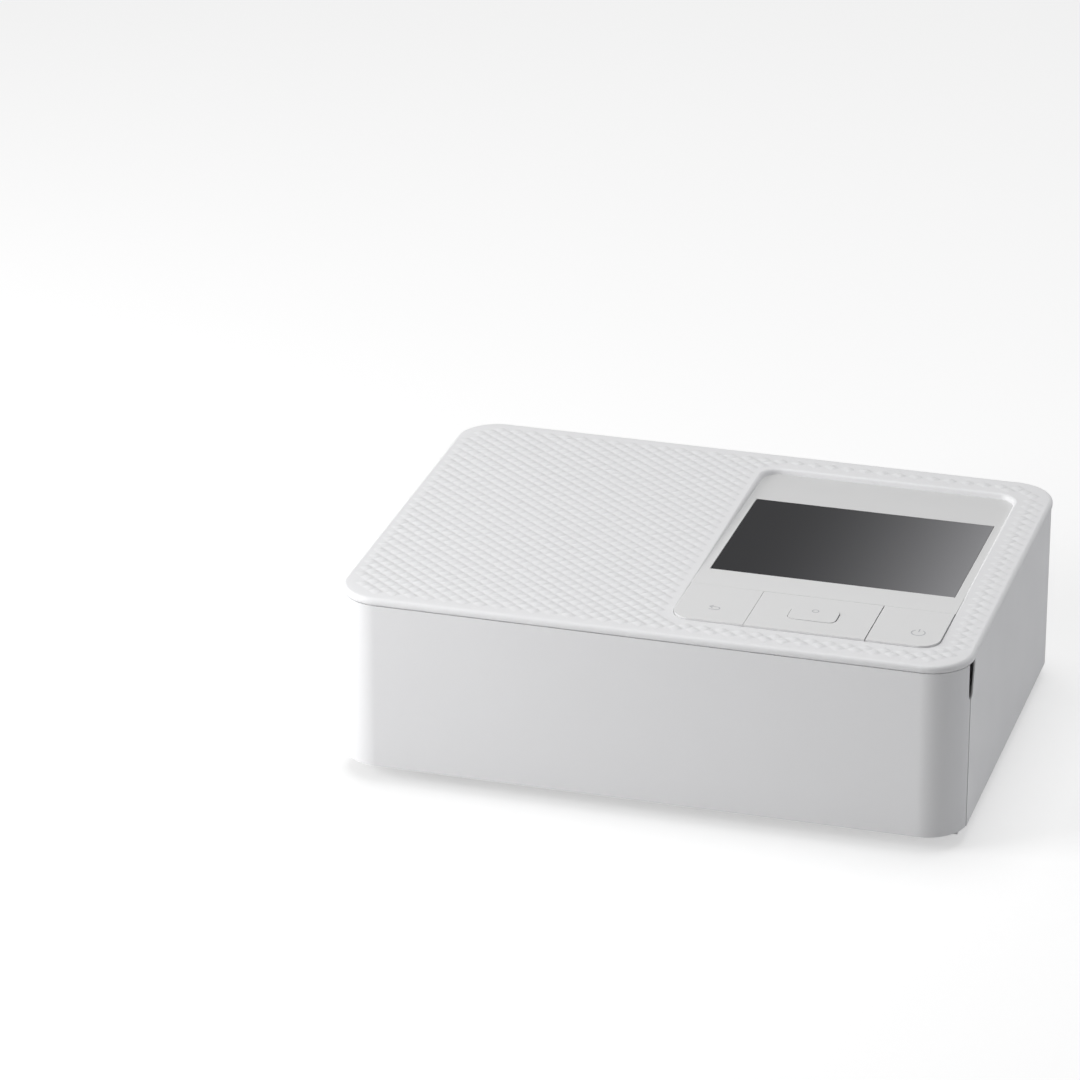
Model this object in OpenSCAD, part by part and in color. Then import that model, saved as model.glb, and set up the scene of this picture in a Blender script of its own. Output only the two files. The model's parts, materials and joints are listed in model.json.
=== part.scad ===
// Compact dye-sublimation photo printer.
// Millimetres. X to the right, Y to the back, Z up; the origin is the middle of the footprint on the table.

/* [Body] */
// Width over the top cover
body_w = 182.2; // [178:0.1:200]
// Depth over the top cover
body_d = 133; // [130:0.1:150]
// Height from the table to the raised front edge of the key panel
body_h = 57.6; // [57:0.1:64]
// Plan radius of the upright corners
corner_r = 12.5; // [11:0.5:16]
// Wall of the shells
wall = 2.2; // [1.8:0.1:2.6]
// Thickness of the top cover
top_t = 2; // [1.6:0.1:2.4]
// Rounding of the top cover's upper edge
edge_r = 0.8; // [0.4:0.1:1.2]
// How far the shells stand inside the top cover's edge
seam_inset = 0.3; // [0.1:0.1:0.6]
// Height of the shadow groove under the top cover
shadow_gap = 0.4; // [0.3:0.1:0.8]
// Height of the shells' lower edge over the table
shell_bottom = 4.6; // [4.2:0.1:5.4]
// Height of the rubber feet below the base
foot_h = 1.6; // [1:0.1:2.2]
// Radius of a rubber foot
foot_r = 6; // [4:0.5:8]

/* [Control panel] */
// How much wider the control panel is than the display glass
panel_w = 5.6; // [4:0.1:9]
// Right edge of the control panel, measured from the right of the top cover
panel_x = 10.4; // [9.8:0.1:12.8]
// Front edge of the control panel, measured from the front of the top cover
panel_front = 11.3; // [11:0.1:14]
// Back edge of the control panel, measured from the back of the top cover
panel_back = 10.5; // [9:0.1:14]
// Corner radius of the control panel
panel_r = 6; // [4:0.5:8]
// How far the panel's front edge stands above the top cover
panel_rise = 0.5; // [0.3:0.1:0.8]
// How far the panel's back edge lies below the top cover
panel_dip = 1.6; // [1.2:0.1:2]
// Width of the display glass
glass_w = 71; // [60:0.5:72]
// Depth of the display glass
glass_d = 54; // [45:0.5:55]
// How far the display glass lies behind the row of keys
glass_back = 11.4; // [8:0.1:14]
// Depth of the row of keys
key_d = 24; // [22:0.5:25]
// Width of the back key
back_key_w = 21; // [16:0.5:24]
// Width of the four-way pad
pad_w = 34.4; // [30:0.2:38]
// Width of the round-cornered key in the middle of the pad
ok_w = 13.5; // [10:0.5:16]
// Depth of the key in the middle of the pad
ok_d = 8; // [6:0.5:9]
// Thickness of the keys
key_t = 1.6; // [1.2:0.1:1.8]
// Gap round a key
key_gap = 0.3; // [0.25:0.05:0.4]
// How far the key in the middle of the pad stands proud
ok_rise = 0.15; // [0.05:0.05:0.15]

/* [Front cover] */
// How far the front cover wraps round the sides
cover_wrap = 10.5; // [9:0.5:12]
// Gap of the upright seam behind the front cover
seam_gap = 0.3; // [0.25:0.05:0.5]
// Width of the finger notch at its open top
notch_w = 5.8; // [4.8:0.2:7]
// Height of the finger notch
notch_h = 11.2; // [9:0.2:14]
// Radius of the finger notch's foot
notch_r = 1.8; // [1.4:0.1:2.2]
// What is left of the shell's wall at the edge of the finger notch
notch_skin = 0.4; // [0.4:0.1:1]
// Radius of the front cover's hinge pins
hinge_pin_r = 0.9; // [0.7:0.1:1]

/* [Paper path] */
// Width of the paper cassette's bay
bay_w = 120; // [112:1:122]
// Height of the paper cassette's bay
bay_h = 34; // [30:0.5:35]
// Width of the printed paper
paper_w = 100; // [89:1:104]
// Distance of the paper's middle from the printer's middle
path_x = -12; // [-13:0.5:-10]
// Radius of the platen roller
platen_r = 7; // [6:0.5:7]
// Radius of the capstan
capstan_r = 4; // [3.5:0.1:4.2]
// Radius of the pinch roller
pinch_r = 3; // [2.5:0.1:3.4]
// Radius of the pick-up tyre
pickup_r = 7.5; // [6:0.5:8]
// Room for the paper between two rollers
paper_gap = 0.35; // [0.3:0.05:0.5]

/* [Ink cassette] */
// Outer radius of a trough of the ink cassette
trough_r = 9.9; // [9:0.1:10]
// Wall of a trough
trough_wall = 0.9; // [0.7:0.1:1.2]
// Distance between the two spools
spool_gap = 35; // [34:0.5:36]
// Radius of the fresh ribbon on its spool
fresh_r = 8.6; // [6:0.1:8.6]
// Radius of the used ribbon on its spool
used_r = 6; // [4.5:0.1:8]
// Radius of a spool's core
core_r = 3.4; // [3:0.1:3.6]

/* [Gears] */
// Module of the feed gears
gear_m = 0.8; // [0.75:0.01:0.82]
// Face width of the gears
gear_face = 5; // [4:0.5:5.5]
// Module of the ribbon gears
ribbon_m = 0.6; // [0.55:0.01:0.65]
// Play between meshing teeth
backlash = 0.16; // [0.12:0.01:0.24]

/* [Clearances] */
// Radial play of a shaft in its bearing
run = 0.05; // [0.03:0.01:0.08]
// Gap between fixed pieces that slip together
slip = 0.3; // [0.2:0.05:0.4]

/* [Hidden] */
$fn = 64;

cut = 1;            // how far a cutter runs past the faces it cuts
weld = 0.3;         // how deep a rib runs into the wall that carries it
press = 0.02;       // radial play of a gear on the shaft that turns it

// Outer planes
top_z = body_h - panel_rise;
cover_z0 = top_z - top_t;
shell_top = cover_z0 - shadow_gap;
side_x = body_w / 2 - seam_inset;
front_y = -body_d / 2 + seam_inset;
back_y = body_d / 2 - seam_inset;
shell_r = corner_r - seam_inset;
in_x = side_x - wall;
in_back = back_y - wall;
in_r = shell_r - wall;
lip_in = 1;
lip_x = side_x - lip_in;
seam_y = -body_d / 2 + cover_wrap;
shell_front = seam_y + seam_gap;

// Base tray
base_z = foot_h;
base_t = 2.2;
floor_z = base_z + base_t;
base_x = in_x - slip;
base_back = in_back - slip;
post_r = 3.4;
post_x = in_x - 5.4;
post_y = [shell_front + 7.5, in_back - 8.5];
post_top = floor_z + 6;
boss_h = 16;
screw_r = 1.4;
screw_head_r = 2.7;
foot_sink = 0.6;
foot_x = post_x - post_r - foot_r - 3;
foot_y = [shell_front + 10, base_back - 14];

// Gears and rollers, on centre points (y, z) that hang from the back and the top
platen_c = [in_back - 38.5, top_z - 34.7];
line_z = platen_c[1] + platen_r + paper_gap;
platen_teeth = 28;
idler_teeth = 23;
capstan_teeth = 16;
pickup_teeth = 28;
pinion_teeth = 14;
takeup_teeth = 24;
ribbon_pinion_teeth = 12;
function pitch_r(teeth, m) = teeth * m / 2;
function polar(c, d, a) = [c[0] + d * cos(a), c[1] + d * sin(a)];
function mesh_d(n1, n2, m) = pitch_r(n1, m) + pitch_r(n2, m);
// Turn of a gear b that puts a gap where a tooth of gear a comes, with b seen from a at angle phi
function mesh_turn(turn_a, teeth_a, teeth_b, phi) =
    phi + 180 - (180 - (phi - turn_a) * teeth_a) / teeth_b;
idler_a = 175.7;
pinion_a = -4;
pickup_a = 140;
ribbon_a = 170;
idler_c = polar(platen_c, mesh_d(platen_teeth, idler_teeth, gear_m), idler_a);
capstan_c = polar(idler_c, mesh_d(idler_teeth, capstan_teeth, gear_m), idler_a);
pickup_c = polar(capstan_c, mesh_d(capstan_teeth, pickup_teeth, gear_m), pickup_a);
pinion_c = polar(platen_c, mesh_d(platen_teeth, pinion_teeth, gear_m), pinion_a);
pinch_c = [capstan_c[0], capstan_c[1] + capstan_r + paper_gap + pinch_r];
takeup_c = [in_back - 21, top_z - 17.5];
supply_c = [takeup_c[0] - spool_gap, takeup_c[1]];
ribbon_c = polar(takeup_c, mesh_d(takeup_teeth, ribbon_pinion_teeth, ribbon_m), ribbon_a);
idler_turn = mesh_turn(0, platen_teeth, idler_teeth, idler_a);
capstan_turn = mesh_turn(idler_turn, idler_teeth, capstan_teeth, idler_a);
pickup_turn = mesh_turn(capstan_turn, capstan_teeth, pickup_teeth, pickup_a);
pinion_turn = mesh_turn(0, platen_teeth, pinion_teeth, pinion_a);
ribbon_turn = mesh_turn(0, takeup_teeth, ribbon_pinion_teeth, ribbon_a);

// Front cover's hinge
hinge_y = front_y + 4;
hinge_z = shell_bottom + 2;
lug_r = 1.6;
arm_r = 1.4;
arm_x = side_x - 20.8;
arm_w = 3;
lug_w = 3;

// Bezel and paper bay
bezel_t = 2;
bezel_top = cover_z0 - 3.8;
bay_floor = floor_z + 4.2;
bay_wall = 1.6;
bay_x0 = path_x - bay_w / 2;
bay_x1 = path_x + bay_w / 2;
bay_back = capstan_c[0] - capstan_r - 5.8;
bay_roof_back = bay_back - 18;
bay_rib_pitch = bay_w / 2 - 22;
bezel_back = shell_front + bezel_t;

// Hooks that hold the front cover shut
hook_x = side_x - 34.8;
hook_w = 10;
hook_t = 1.5;
hook_z = bay_floor + bay_h + bay_wall + 2.1;
flap_rib_pitch = (hook_x - hook_w - 2) / 2;

// Lift plate in the floor of the bay
lift_w = 50;
lift_y0 = bezel_back + 8;
lift_y1 = bay_back - 3;
lift_t = 1.2;
lift_pin_r = 0.55;

// Control panel: its top face slopes from front to back
panel_y0 = -body_d / 2 + panel_front;
panel_y1 = body_d / 2 - panel_back;
panel_x1 = body_w / 2 - panel_x;
panel_x0 = panel_x1 - glass_w - panel_w;
panel_floor = cover_z0 - 1.6;
panel_slope = (panel_rise + panel_dip) / (panel_y1 - panel_y0);
function panel_z(y) = top_z - panel_dip + (panel_y1 - y) * panel_slope;
flange_w = 2.5;
flange_lip = 1;
keys_y0 = panel_y0 + key_gap;
keys_y1 = keys_y0 + key_d;
deck_y = keys_y1 + key_gap;
back_x1 = panel_x0 + key_gap + back_key_w;
pad_x0 = back_x1 + key_gap;
pad_x1 = pad_x0 + pad_w;
power_x0 = pad_x1 + key_gap;
pad_cx = (pad_x0 + pad_x1) / 2;
pad_cy = (keys_y0 + keys_y1) / 2;
ok_r = 2;
glass_t = 1.1;
glass_x = (panel_x0 + panel_x1) / 2;
glass_y0 = deck_y + glass_back;
glass_y1 = glass_y0 + glass_d;
glass_gap = 0.1;
lcd_border = 2.4;
lcd_z0 = panel_floor - 3.2;

// Under the keys
board_t = 1.6;
board_z1 = panel_floor - 2.4;
board_z0 = board_z1 - board_t;
switch_h = 1.3;
plunger_gap = 0.3;
plunger_z = board_z1 + switch_h + plunger_gap;
bar_w = 2;
bar_z0 = panel_floor - 1.8;
gimbal_z = panel_floor - 0.8;
gimbal_h = 1.2;
gimbal_wx = 27;
gimbal_wy = 19;
gimbal_rim = 2.5;
gimbal_pin_r = 0.5;
key_hinge_y = deck_y + 2.4;
key_hinge_z = panel_floor - 1.2;
key_pin_r = 0.45;
key_arm_w = 2;
ear_w = 1.2;

// Frames
frame_t = 1.2;
left_x = bay_x0 - bay_wall - 2.4;
right_x = bay_x1 + bay_wall + 0.8;
frame_y0 = pickup_c[0] - 6;
frame_y1 = in_back - 7;
frame_z1 = takeup_c[1] + 9.4;
gear_x0 = right_x + frame_t + 0.8;
gear_x1 = gear_x0 + gear_face;
bracket_x = gear_x1 + 1.6;
roller_x0 = path_x - paper_w / 2 - 3;
roller_x1 = path_x + paper_w / 2 + 3;
shaft_x0 = left_x - 2.6;
platen_shaft_r = 3;
capstan_shaft_r = 2.5;
pickup_shaft_r = 2;
pinch_shaft_r = 1.5;
bush_t = 1.4;
collar_t = 1;
stud_r = 2;
motor_shaft_r = 1;
can_room = in_x - bracket_x - frame_t;
feed_can_r = 11.5;
feed_can_l = can_room - 11.4;
ribbon_can_r = 7.8;
ribbon_can_l = can_room - 8.4;
standoff_r = 2.5;

// Ink cassette and thermal head
cass_x0 = -in_x + 4.6;
cass_x1 = right_x - 4.4;
cap_l = 3;
bridge_z0 = line_z + 0.2;
bridge_z1 = bridge_z0 + 6;
web_t = 0.2;
web_in = 3;
web_z = line_z + 0.15;
head_z0 = web_z + web_t + 0.25;
head_pivot = [supply_c[0] + trough_r + 2.5, takeup_c[1] + 1.4];
head_pin_r = 1.5;
head_y0 = platen_c[0] - 4;
head_y1 = platen_c[0] + 5;
sink_z0 = head_z0 + 2.6;
sink_z1 = takeup_c[1] + 8.4;
sink_y0 = head_pivot[0] + 2.4;
sink_y1 = head_y1 + 1;
fin_t = 1;
fins = 4;
head_plate_t = 1.2;

// Ink door in the left wall
door_y0 = in_back - 67.7;
door_y1 = in_back - 10.8;
door_z0 = floor_z + 11.4;
door_z1 = takeup_c[1] + trough_r + 0.3;
door_round = 0.8;
door_x = -side_x + door_round;
door_hinge_z = door_z0 + door_round;
door_pin_r = 0.5;
door_pin_l = 1.4;

// Sockets and boards at the back
slot_in = 6;
slot_z0 = line_z - 2.9;
slot_z1 = line_z + 3.1;
jack_x = -58;
jack_z = floor_z + 9.4;
jack_collar_r = 4.6;
jack_bore_r = 3.2;
jack_depth = 8;
jack_well_r = 2.6;
jack_well = 3;
jack_pin_r = 1;
jack_y1 = back_y - 0.3;
usb_x = -36;
usb_w = 8.9;
usb_h = 3.2;
pcb_z = floor_z + 2.4;
power_y0 = platen_c[0] + 12;
power_y1 = base_back - 1.8;
main_x0 = bracket_x + frame_t + 2;
main_x1 = in_x - 3;
main_y0 = post_y[0] + post_r + 1;
main_y1 = platen_c[0] - 9.5;
power_x0_board = left_x + frame_t + 4;
power_x1_board = -16;
board_posts = [
    for (x = [main_x0 + 4, main_x1 - 4], y = [main_y0 + 4, main_y1 - 4]) [x, y],
    for (x = [power_x0_board + 4, power_x1_board - 4], y = [power_y0 + 4, power_y1 - 5]) [x, y]
];
card_w = 25;
card_y0 = shell_front + 10;
card_h = 3.4;
card_l = 30;
card_lip = 0.6;
bay_top = bay_floor + bay_h + bay_wall;
card_z0 = bay_top + 0.1 * (cover_z0 - bay_top - card_h);
vent_n = 7;
vent_x0 = in_x - 34.6;
vent_x1 = in_x - 10.6;
vent_z0 = 17;
vent_pitch = 3.8;
vent_w = 1.8;

// Ribs under the top cover that centre it in the shell
cover_rib_t = 1.4;
cover_rib_h = 3;
cover_rib_x = in_x - 28.6;
cover_rib_y0 = shell_front + 8.9;
cover_rib_y1 = door_y0 - 6;

// Pick-up tyres
tyre_l = 16;
tyre_gap = 6;

white = [0.9, 0.9, 0.9];
pale = [0.82, 0.82, 0.83];
grey = [0.6, 0.6, 0.62];
dark = [0.2, 0.2, 0.21];
steel = [0.7, 0.71, 0.73];
brass = [0.72, 0.6, 0.34];
black = [0.09, 0.09, 0.1];
board_green = [0.1, 0.32, 0.2];
ribbon_red = [0.75, 0.3, 0.45];
ribbon_blue = [0.35, 0.55, 0.75];

// ---- shared shapes ----

// A plan outline from x0 to x1 and y0 to y1 with four round corners
module round_plan(x0, x1, y0, y1, r) {
    translate([x0 + r, y0]) square([x1 - x0 - 2 * r, y1 - y0]);
    translate([x0, y0 + r]) square([x1 - x0, y1 - y0 - 2 * r]);
    for (x = [x0 + r, x1 - r], y = [y0 + r, y1 - r])
        translate([x, y]) circle(r);
}

module round_block(x0, x1, y0, y1, z0, z1, r) {
    translate([0, 0, z0]) linear_extrude(z1 - z0) round_plan(x0, x1, y0, y1, r);
}

module block(x0, x1, y0, y1, z0, z1) {
    translate([x0, y0, z0]) cube([x1 - x0, y1 - y0, z1 - z0]);
}

// A cylinder along X through the point c = [y, z]
module rod(x0, x1, c, r) {
    translate([x0, c[0], c[1]]) rotate([0, 90, 0]) cylinder(h = x1 - x0, r = r);
}

// A profile drawn as (y, z) points or shapes and extruded along X
module along_x(x0, x1) {
    translate([x0, 0, 0]) rotate([90, 0, 90]) linear_extrude(x1 - x0) children();
}

// A profile drawn as (x, z) and extruded along Y
module along_y(y0, y1) {
    translate([0, y1, 0]) rotate([90, 0, 0]) linear_extrude(y1 - y0) children();
}

// The body under the panel's sloping face, from floor z0 up to a plane "under" below that face
module under_panel(x0, x1, y0, y1, z0, under) {
    along_x(x0, x1) polygon([
        [y0, z0], [y1, z0], [y1, panel_z(y1) - under], [y0, panel_z(y0) - under]
    ]);
}

// Outline of one gear: trapezoid teeth with a rounded-down tip, thinned by the backlash
function gear_outline(teeth, m) = [
    for (i = [0:teeth - 1], p = [0:5])
        let (
            rp = pitch_r(teeth, m),
            half = 90 / teeth - backlash / 2 / rp * 90 / PI,
            root = half * 1.62,
            tip = half * 0.46,
            r = [rp - 1.2 * m, rp, rp + 0.9 * m, rp + 0.9 * m, rp, rp - 1.2 * m][p],
            a = i * 360 / teeth + [-root, -half, -tip, tip, half, root][p]
        ) [r * cos(a), r * sin(a)]
];

// A gear on the axis c, its tooth 0 turned to "turn", with a hub and a web between hub and rim
module gear(c, teeth, m, turn, x0, x1, bore, hub) {
    root_r = pitch_r(teeth, m) - 1.2 * m;
    difference() {
        union() {
            translate([x0, c[0], c[1]]) rotate([90, 0, 90]) rotate([0, 0, turn])
                linear_extrude(x1 - x0) polygon(gear_outline(teeth, m));
            rod(x0 - 0.4, x1, c, hub);
        }
        rod(x0 - cut, x1 + cut, c, bore);
        if (root_r - 1.6 > hub + 1)
            difference() {
                rod(x1 - 1.5, x1 + cut, c, root_r - 1.6);
                rod(x1 - 1.5 - cut, x1 + 2 * cut, c, hub);
            }
    }
}

// ---- housing ----

module base_tray() {
    color(pale) {
        difference() {
            union() {
                round_block(-base_x, base_x, shell_front, base_back, base_z, floor_z, in_r - slip);
                block(-base_x, base_x, shell_front, 0, base_z, floor_z);
                // Locating rim inside the shell
                difference() {
                    round_block(-base_x, base_x, bezel_back + slip, base_back,
                        floor_z - weld, floor_z + 3.4, in_r - slip);
                    round_block(-base_x + 1.6, base_x - 1.6, bezel_back - 20, base_back - 1.6,
                        floor_z - cut, floor_z + 4, in_r - slip - 1.6);
                    for (x = [-post_x, post_x], y = post_y)
                        translate([x, y, floor_z]) cylinder(h = 9, r = post_r + 1.6);
                }
                for (x = [-post_x, post_x], y = post_y)
                    translate([x, y, floor_z - weld]) cylinder(h = post_top - floor_z + weld, r = post_r);
                // Posts of the circuit boards
                for (p = board_posts)
                    translate([p[0], p[1], floor_z - weld])
                        cylinder(h = pcb_z - floor_z + weld, r = 2.2);
                for (s = [-1, 1]) hinge_arm(s);
            }
            for (x = [-post_x, post_x], y = post_y)
                translate([x, y, base_z - cut]) {
                    cylinder(h = post_top + cut, r = screw_r + 0.1);
                    cylinder(h = cut + 1.6, r = screw_head_r + 0.2);
                }
            for (x = [-foot_x, foot_x], y = foot_y)
                translate([x, y, base_z - cut]) cylinder(h = cut + foot_sink, r = foot_r + 0.1);
        }
    }
}

// One arm that reaches forward from the base, with a pin that points outwards
module hinge_arm(side) {
    x_in = side * arm_x;
    x_out = side * (arm_x + arm_w);
    pin_end = side * (arm_x + arm_w + slip + lug_w);
    c = [hinge_y, hinge_z];
    rod(min(x_in, x_out), max(x_in, x_out), c, arm_r);
    block(min(x_in, x_out), max(x_in, x_out), hinge_y, bezel_back - 0.2, hinge_z - arm_r, hinge_z + arm_r);
    block(min(x_in, x_out), max(x_in, x_out), shell_front, bezel_back - 0.2, floor_z - weld, hinge_z);
    rod(min(x_in, pin_end), max(x_in, pin_end), c, hinge_pin_r);
}

module base_screws() {
    color(steel) for (x = [-post_x, post_x], y = post_y)
        translate([x, y, base_z + 0.4]) difference() {
            union() {
                cylinder(h = 1.2, r = screw_head_r);
                cylinder(h = post_top - base_z + 7, r = screw_r);
            }
            translate([0, 0, -cut]) cylinder(h = cut + 0.7, r = 1.3, $fn = 6);
        }
}

module rubber_feet() {
    color(dark) for (x = [-foot_x, foot_x], y = foot_y)
        translate([x, y, 0]) rotate_extrude() polygon([
            [0, 0], [foot_r - 0.8, 0], [foot_r, 0.8], [foot_r, base_z + foot_sink], [0, base_z + foot_sink]
        ]);
}

module side_shell() {
    color(white) difference() {
        union() {
            difference() {
                union() {
                    round_block(-side_x, side_x, -20, back_y, shell_bottom, shell_top, shell_r);
                    block(-side_x, side_x, shell_front, 0, shell_bottom, shell_top);
                    // Inner half of the wall carries the top cover
                    round_block(-lip_x, lip_x, -20, back_y - lip_in,
                        shell_bottom, cover_z0, shell_r - lip_in);
                    block(-lip_x, lip_x, shell_front, 0, shell_bottom, cover_z0);
                }
                round_block(-in_x, in_x, -20, in_back, 0, body_h, in_r);
                block(-in_x, in_x, shell_front - cut, 0, 0, body_h);
            }
            for (s = [-1, 1], y = post_y) shell_boss(s, y);
            // Bosses behind the ink door's pins
            for (y = [door_y0, door_y1])
                block(-in_x - weld, -in_x + 1.4, y - 3, y + 3, door_hinge_z - 2, door_hinge_z + 2);
        }
        for (s = [-1, 1]) {
            finger_notch(s);
            notch_relief(s);
        }
        ink_door_cut();
        // Paper slot
        round_block_y(bay_x0 + slot_in, bay_x1 - slot_in, slot_z0, slot_z1, in_back - 2, back_y + cut, 1.5);
        // Socket holes
        translate([jack_x, in_back - cut, jack_z]) rotate([-90, 0, 0])
            cylinder(h = wall + 2 * cut, r = jack_collar_r + slip);
        round_block_y(usb_x - usb_w / 2 - slip, usb_x + usb_w / 2 + slip, pcb_z + board_t - slip,
            pcb_z + board_t + usb_h + slip, in_back - cut, back_y + cut, usb_h / 2 + slip - 0.05);
        card_mouth(-side_x - cut, -in_x + cut);
        for (i = [0:vent_n - 1]) {
            z = vent_z0 + i * vent_pitch;
            round_block_y(vent_x0, vent_x1, z, z + vent_w, in_back - cut, back_y + cut, vent_w / 2 - 0.05);
        }
    }
}

// A slot with round ends cut along Y
module round_block_y(x0, x1, z0, z1, y0, y1, r) {
    along_y(y0, y1) round_plan(x0, x1, z0, z1, r);
}

module shell_boss(side, y) {
    x = side * post_x;
    wall_x = side * (in_x + weld);
    difference() {
        union() {
            translate([x, y, post_top]) cylinder(h = boss_h, r = post_r);
            block(min(x, wall_x), max(x, wall_x), y - 0.8, y + 0.8, post_top, post_top + boss_h);
        }
        translate([x, y, post_top - cut]) cylinder(h = cut + 10, r = screw_r + 0.05);
    }
}

// The finger notch: a tapered slot with a round foot that opens at the top, behind the cover's edge
module finger_notch(side) {
    y0 = seam_y - 1;
    z0 = shell_top - notch_h + notch_r;
    x = side * in_x;
    along_x(x - 5, x + 5) {
        translate([y0 + notch_r, z0]) circle(notch_r);
        polygon([
            [y0, z0], [y0 + 2 * notch_r, z0], [y0 + notch_w, shell_top], [y0 + notch_w, body_h], [y0, body_h]
        ]);
    }
}

// The shell's wall thins from the inside towards the finger notch
module notch_relief(side) {
    x = side * (side_x - notch_skin);
    y = seam_y - 1 + notch_w;
    translate([0, 0, shell_top - notch_h]) linear_extrude(notch_h + top_t) polygon([
        [side * (in_x - 1), shell_front - cut], [x, shell_front - cut], [x, y], [side * in_x, y + 8],
        [side * (in_x - 1), y + 8]
    ]);
}

module ink_door_cut() {
    block(-side_x - cut, -in_x + cut, door_y0 - slip, door_y1 + slip, door_z0 - slip, door_z1 + slip);
    block(-in_x - cut, -in_x + 2.4, door_y0 - slip, door_y1 + slip, door_z0 - slip, door_z1 + slip);
    for (y = [door_y0 - door_pin_l - slip, door_y1 - cut])
        translate([door_x, y, door_hinge_z]) rotate([-90, 0, 0])
            cylinder(h = door_pin_l + slip + cut, r = door_pin_r + run);
}

module ink_door() {
    color(white) {
        difference() {
            union() {
                block(-side_x, -in_x, door_y0, door_y1, door_hinge_z, door_z1);
                block(door_x, -in_x, door_y0, door_y1, door_z0, door_hinge_z + cut);
                translate([door_x, door_y0, door_hinge_z]) rotate([-90, 0, 0])
                    cylinder(h = door_y1 - door_y0, r = door_round);
                // Stiffening rib
                block(-in_x - weld, -in_x + 1.2, door_y0 + 4, door_y1 - 4, door_z1 - 6, door_z1 - 4.6);
            }
            // Fingernail groove along the upper edge
            block(-side_x - cut, -side_x + 0.9, (door_y0 + door_y1) / 2 - 9, (door_y0 + door_y1) / 2 + 9,
                door_z1 - 1.6, door_z1 + cut);
        }
        for (y = [door_y0 - door_pin_l, door_y1 - weld])
            translate([door_x, y, door_hinge_z]) rotate([-90, 0, 0])
                cylinder(h = door_pin_l + weld, r = door_pin_r);
    }
}

// Plate with rounded upper edges: two crossed profiles and four turned corners
module rounded_slab(x0, x1, y0, y1, z0, z1, r, e) {
    block(x0 + r, x1 - r, y0, y1, z0, z1 - e);
    block(x0, x1, y0 + r, y1 - r, z0, z1 - e);
    block(x0 + e, x1 - e, y0 + r, y1 - r, z1 - e - cut, z1);
    block(x0 + r, x1 - r, y0 + e, y1 - e, z1 - e - cut, z1);
    for (y = [y0 + e, y1 - e]) rod(x0 + r, x1 - r, [y, z1 - e], e);
    for (x = [x0 + e, x1 - e]) translate([x, y0 + r, z1 - e]) rotate([-90, 0, 0])
        cylinder(h = y1 - y0 - 2 * r, r = e);
    for (x = [x0 + r, x1 - r], y = [y0 + r, y1 - r])
        translate([x, y, z0]) rotate_extrude() {
            square([r, z1 - z0 - e]);
            square([r - e, z1 - z0]);
            intersection() {
                translate([r - e, z1 - z0 - e]) circle(e);
                square([r, z1 - z0]);
            }
        }
}

module top_cover() {
    color(white) {
        difference() {
            rounded_slab(-body_w / 2, body_w / 2, -body_d / 2, body_d / 2, cover_z0, top_z, corner_r, edge_r);
            round_block(panel_x0, panel_x1, panel_y0, panel_y1, cover_z0 - cut, top_z + cut, panel_r);
        }
        // Ribs that centre the cover inside the shell
        for (x = [-base_x, base_x - cover_rib_t])
            block(x, x + cover_rib_t, cover_rib_y0, cover_rib_y1, cover_z0 - cover_rib_h, cover_z0 + weld);
        block(-cover_rib_x, cover_rib_x, base_back - cover_rib_t, base_back,
            cover_z0 - cover_rib_h, cover_z0 + weld);
    }
}

module front_cover() {
    c = [hinge_y, hinge_z];
    reach = seam_y - hinge_y;
    color(white) {
        difference() {
            union() {
                round_block(-side_x, side_x, front_y, 0, shell_bottom, shell_top, shell_r);
                for (s = [-1, 1]) cover_lug(s);
            }
            round_block(-in_x, in_x, front_y + wall, cut, shell_bottom - cut, shell_top + cut, in_r);
            block(-body_w, body_w, seam_y, cut, 0, body_h);
            for (s = [-1, 1]) finger_notch(s);
            // The lower back corners are rounded about the hinge so that they clear the shell
            difference() {
                block(-body_w, body_w, hinge_y, seam_y + cut, 0, hinge_z);
                rod(-body_w - cut, body_w + cut, c, reach);
            }
        }
        for (s = [-1, 1]) {
            cover_lug(s);
            // Hook with a ramped tip
            x = s * hook_x;
            along_x(x - hook_w / 2, x + hook_w / 2) polygon([
                [front_y + wall - weld, hook_z], [bezel_back + 0.6, hook_z], [bezel_back + 1.6, hook_z + 0.7],
                [bezel_back + 1.2, hook_z + hook_t], [front_y + wall - weld, hook_z + hook_t]
            ]);
            block(x - 0.8, x + 0.8, front_y + wall - weld, shell_front - 2.4, hook_z - 3, hook_z + 0.2);
        }
        // Ribs on the inside of the flap
        for (i = [-2:2])
            block(i * flap_rib_pitch - 0.6, i * flap_rib_pitch + 0.6,
                front_y + wall - weld, front_y + wall + 1.4, shell_bottom + 1, shell_top - 2);
    }
}

module cover_lug(side) {
    a = side * (arm_x + arm_w + slip);
    b = side * (arm_x + arm_w + slip + lug_w);
    difference() {
        union() {
            rod(min(a, b), max(a, b), [hinge_y, hinge_z], lug_r);
            block(min(a, b), max(a, b), front_y + 1.2, hinge_y, hinge_z - lug_r, hinge_z + lug_r);
        }
        rod(min(a, b) - cut, max(a, b) + cut, [hinge_y, hinge_z], hinge_pin_r + run);
    }
}

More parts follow.
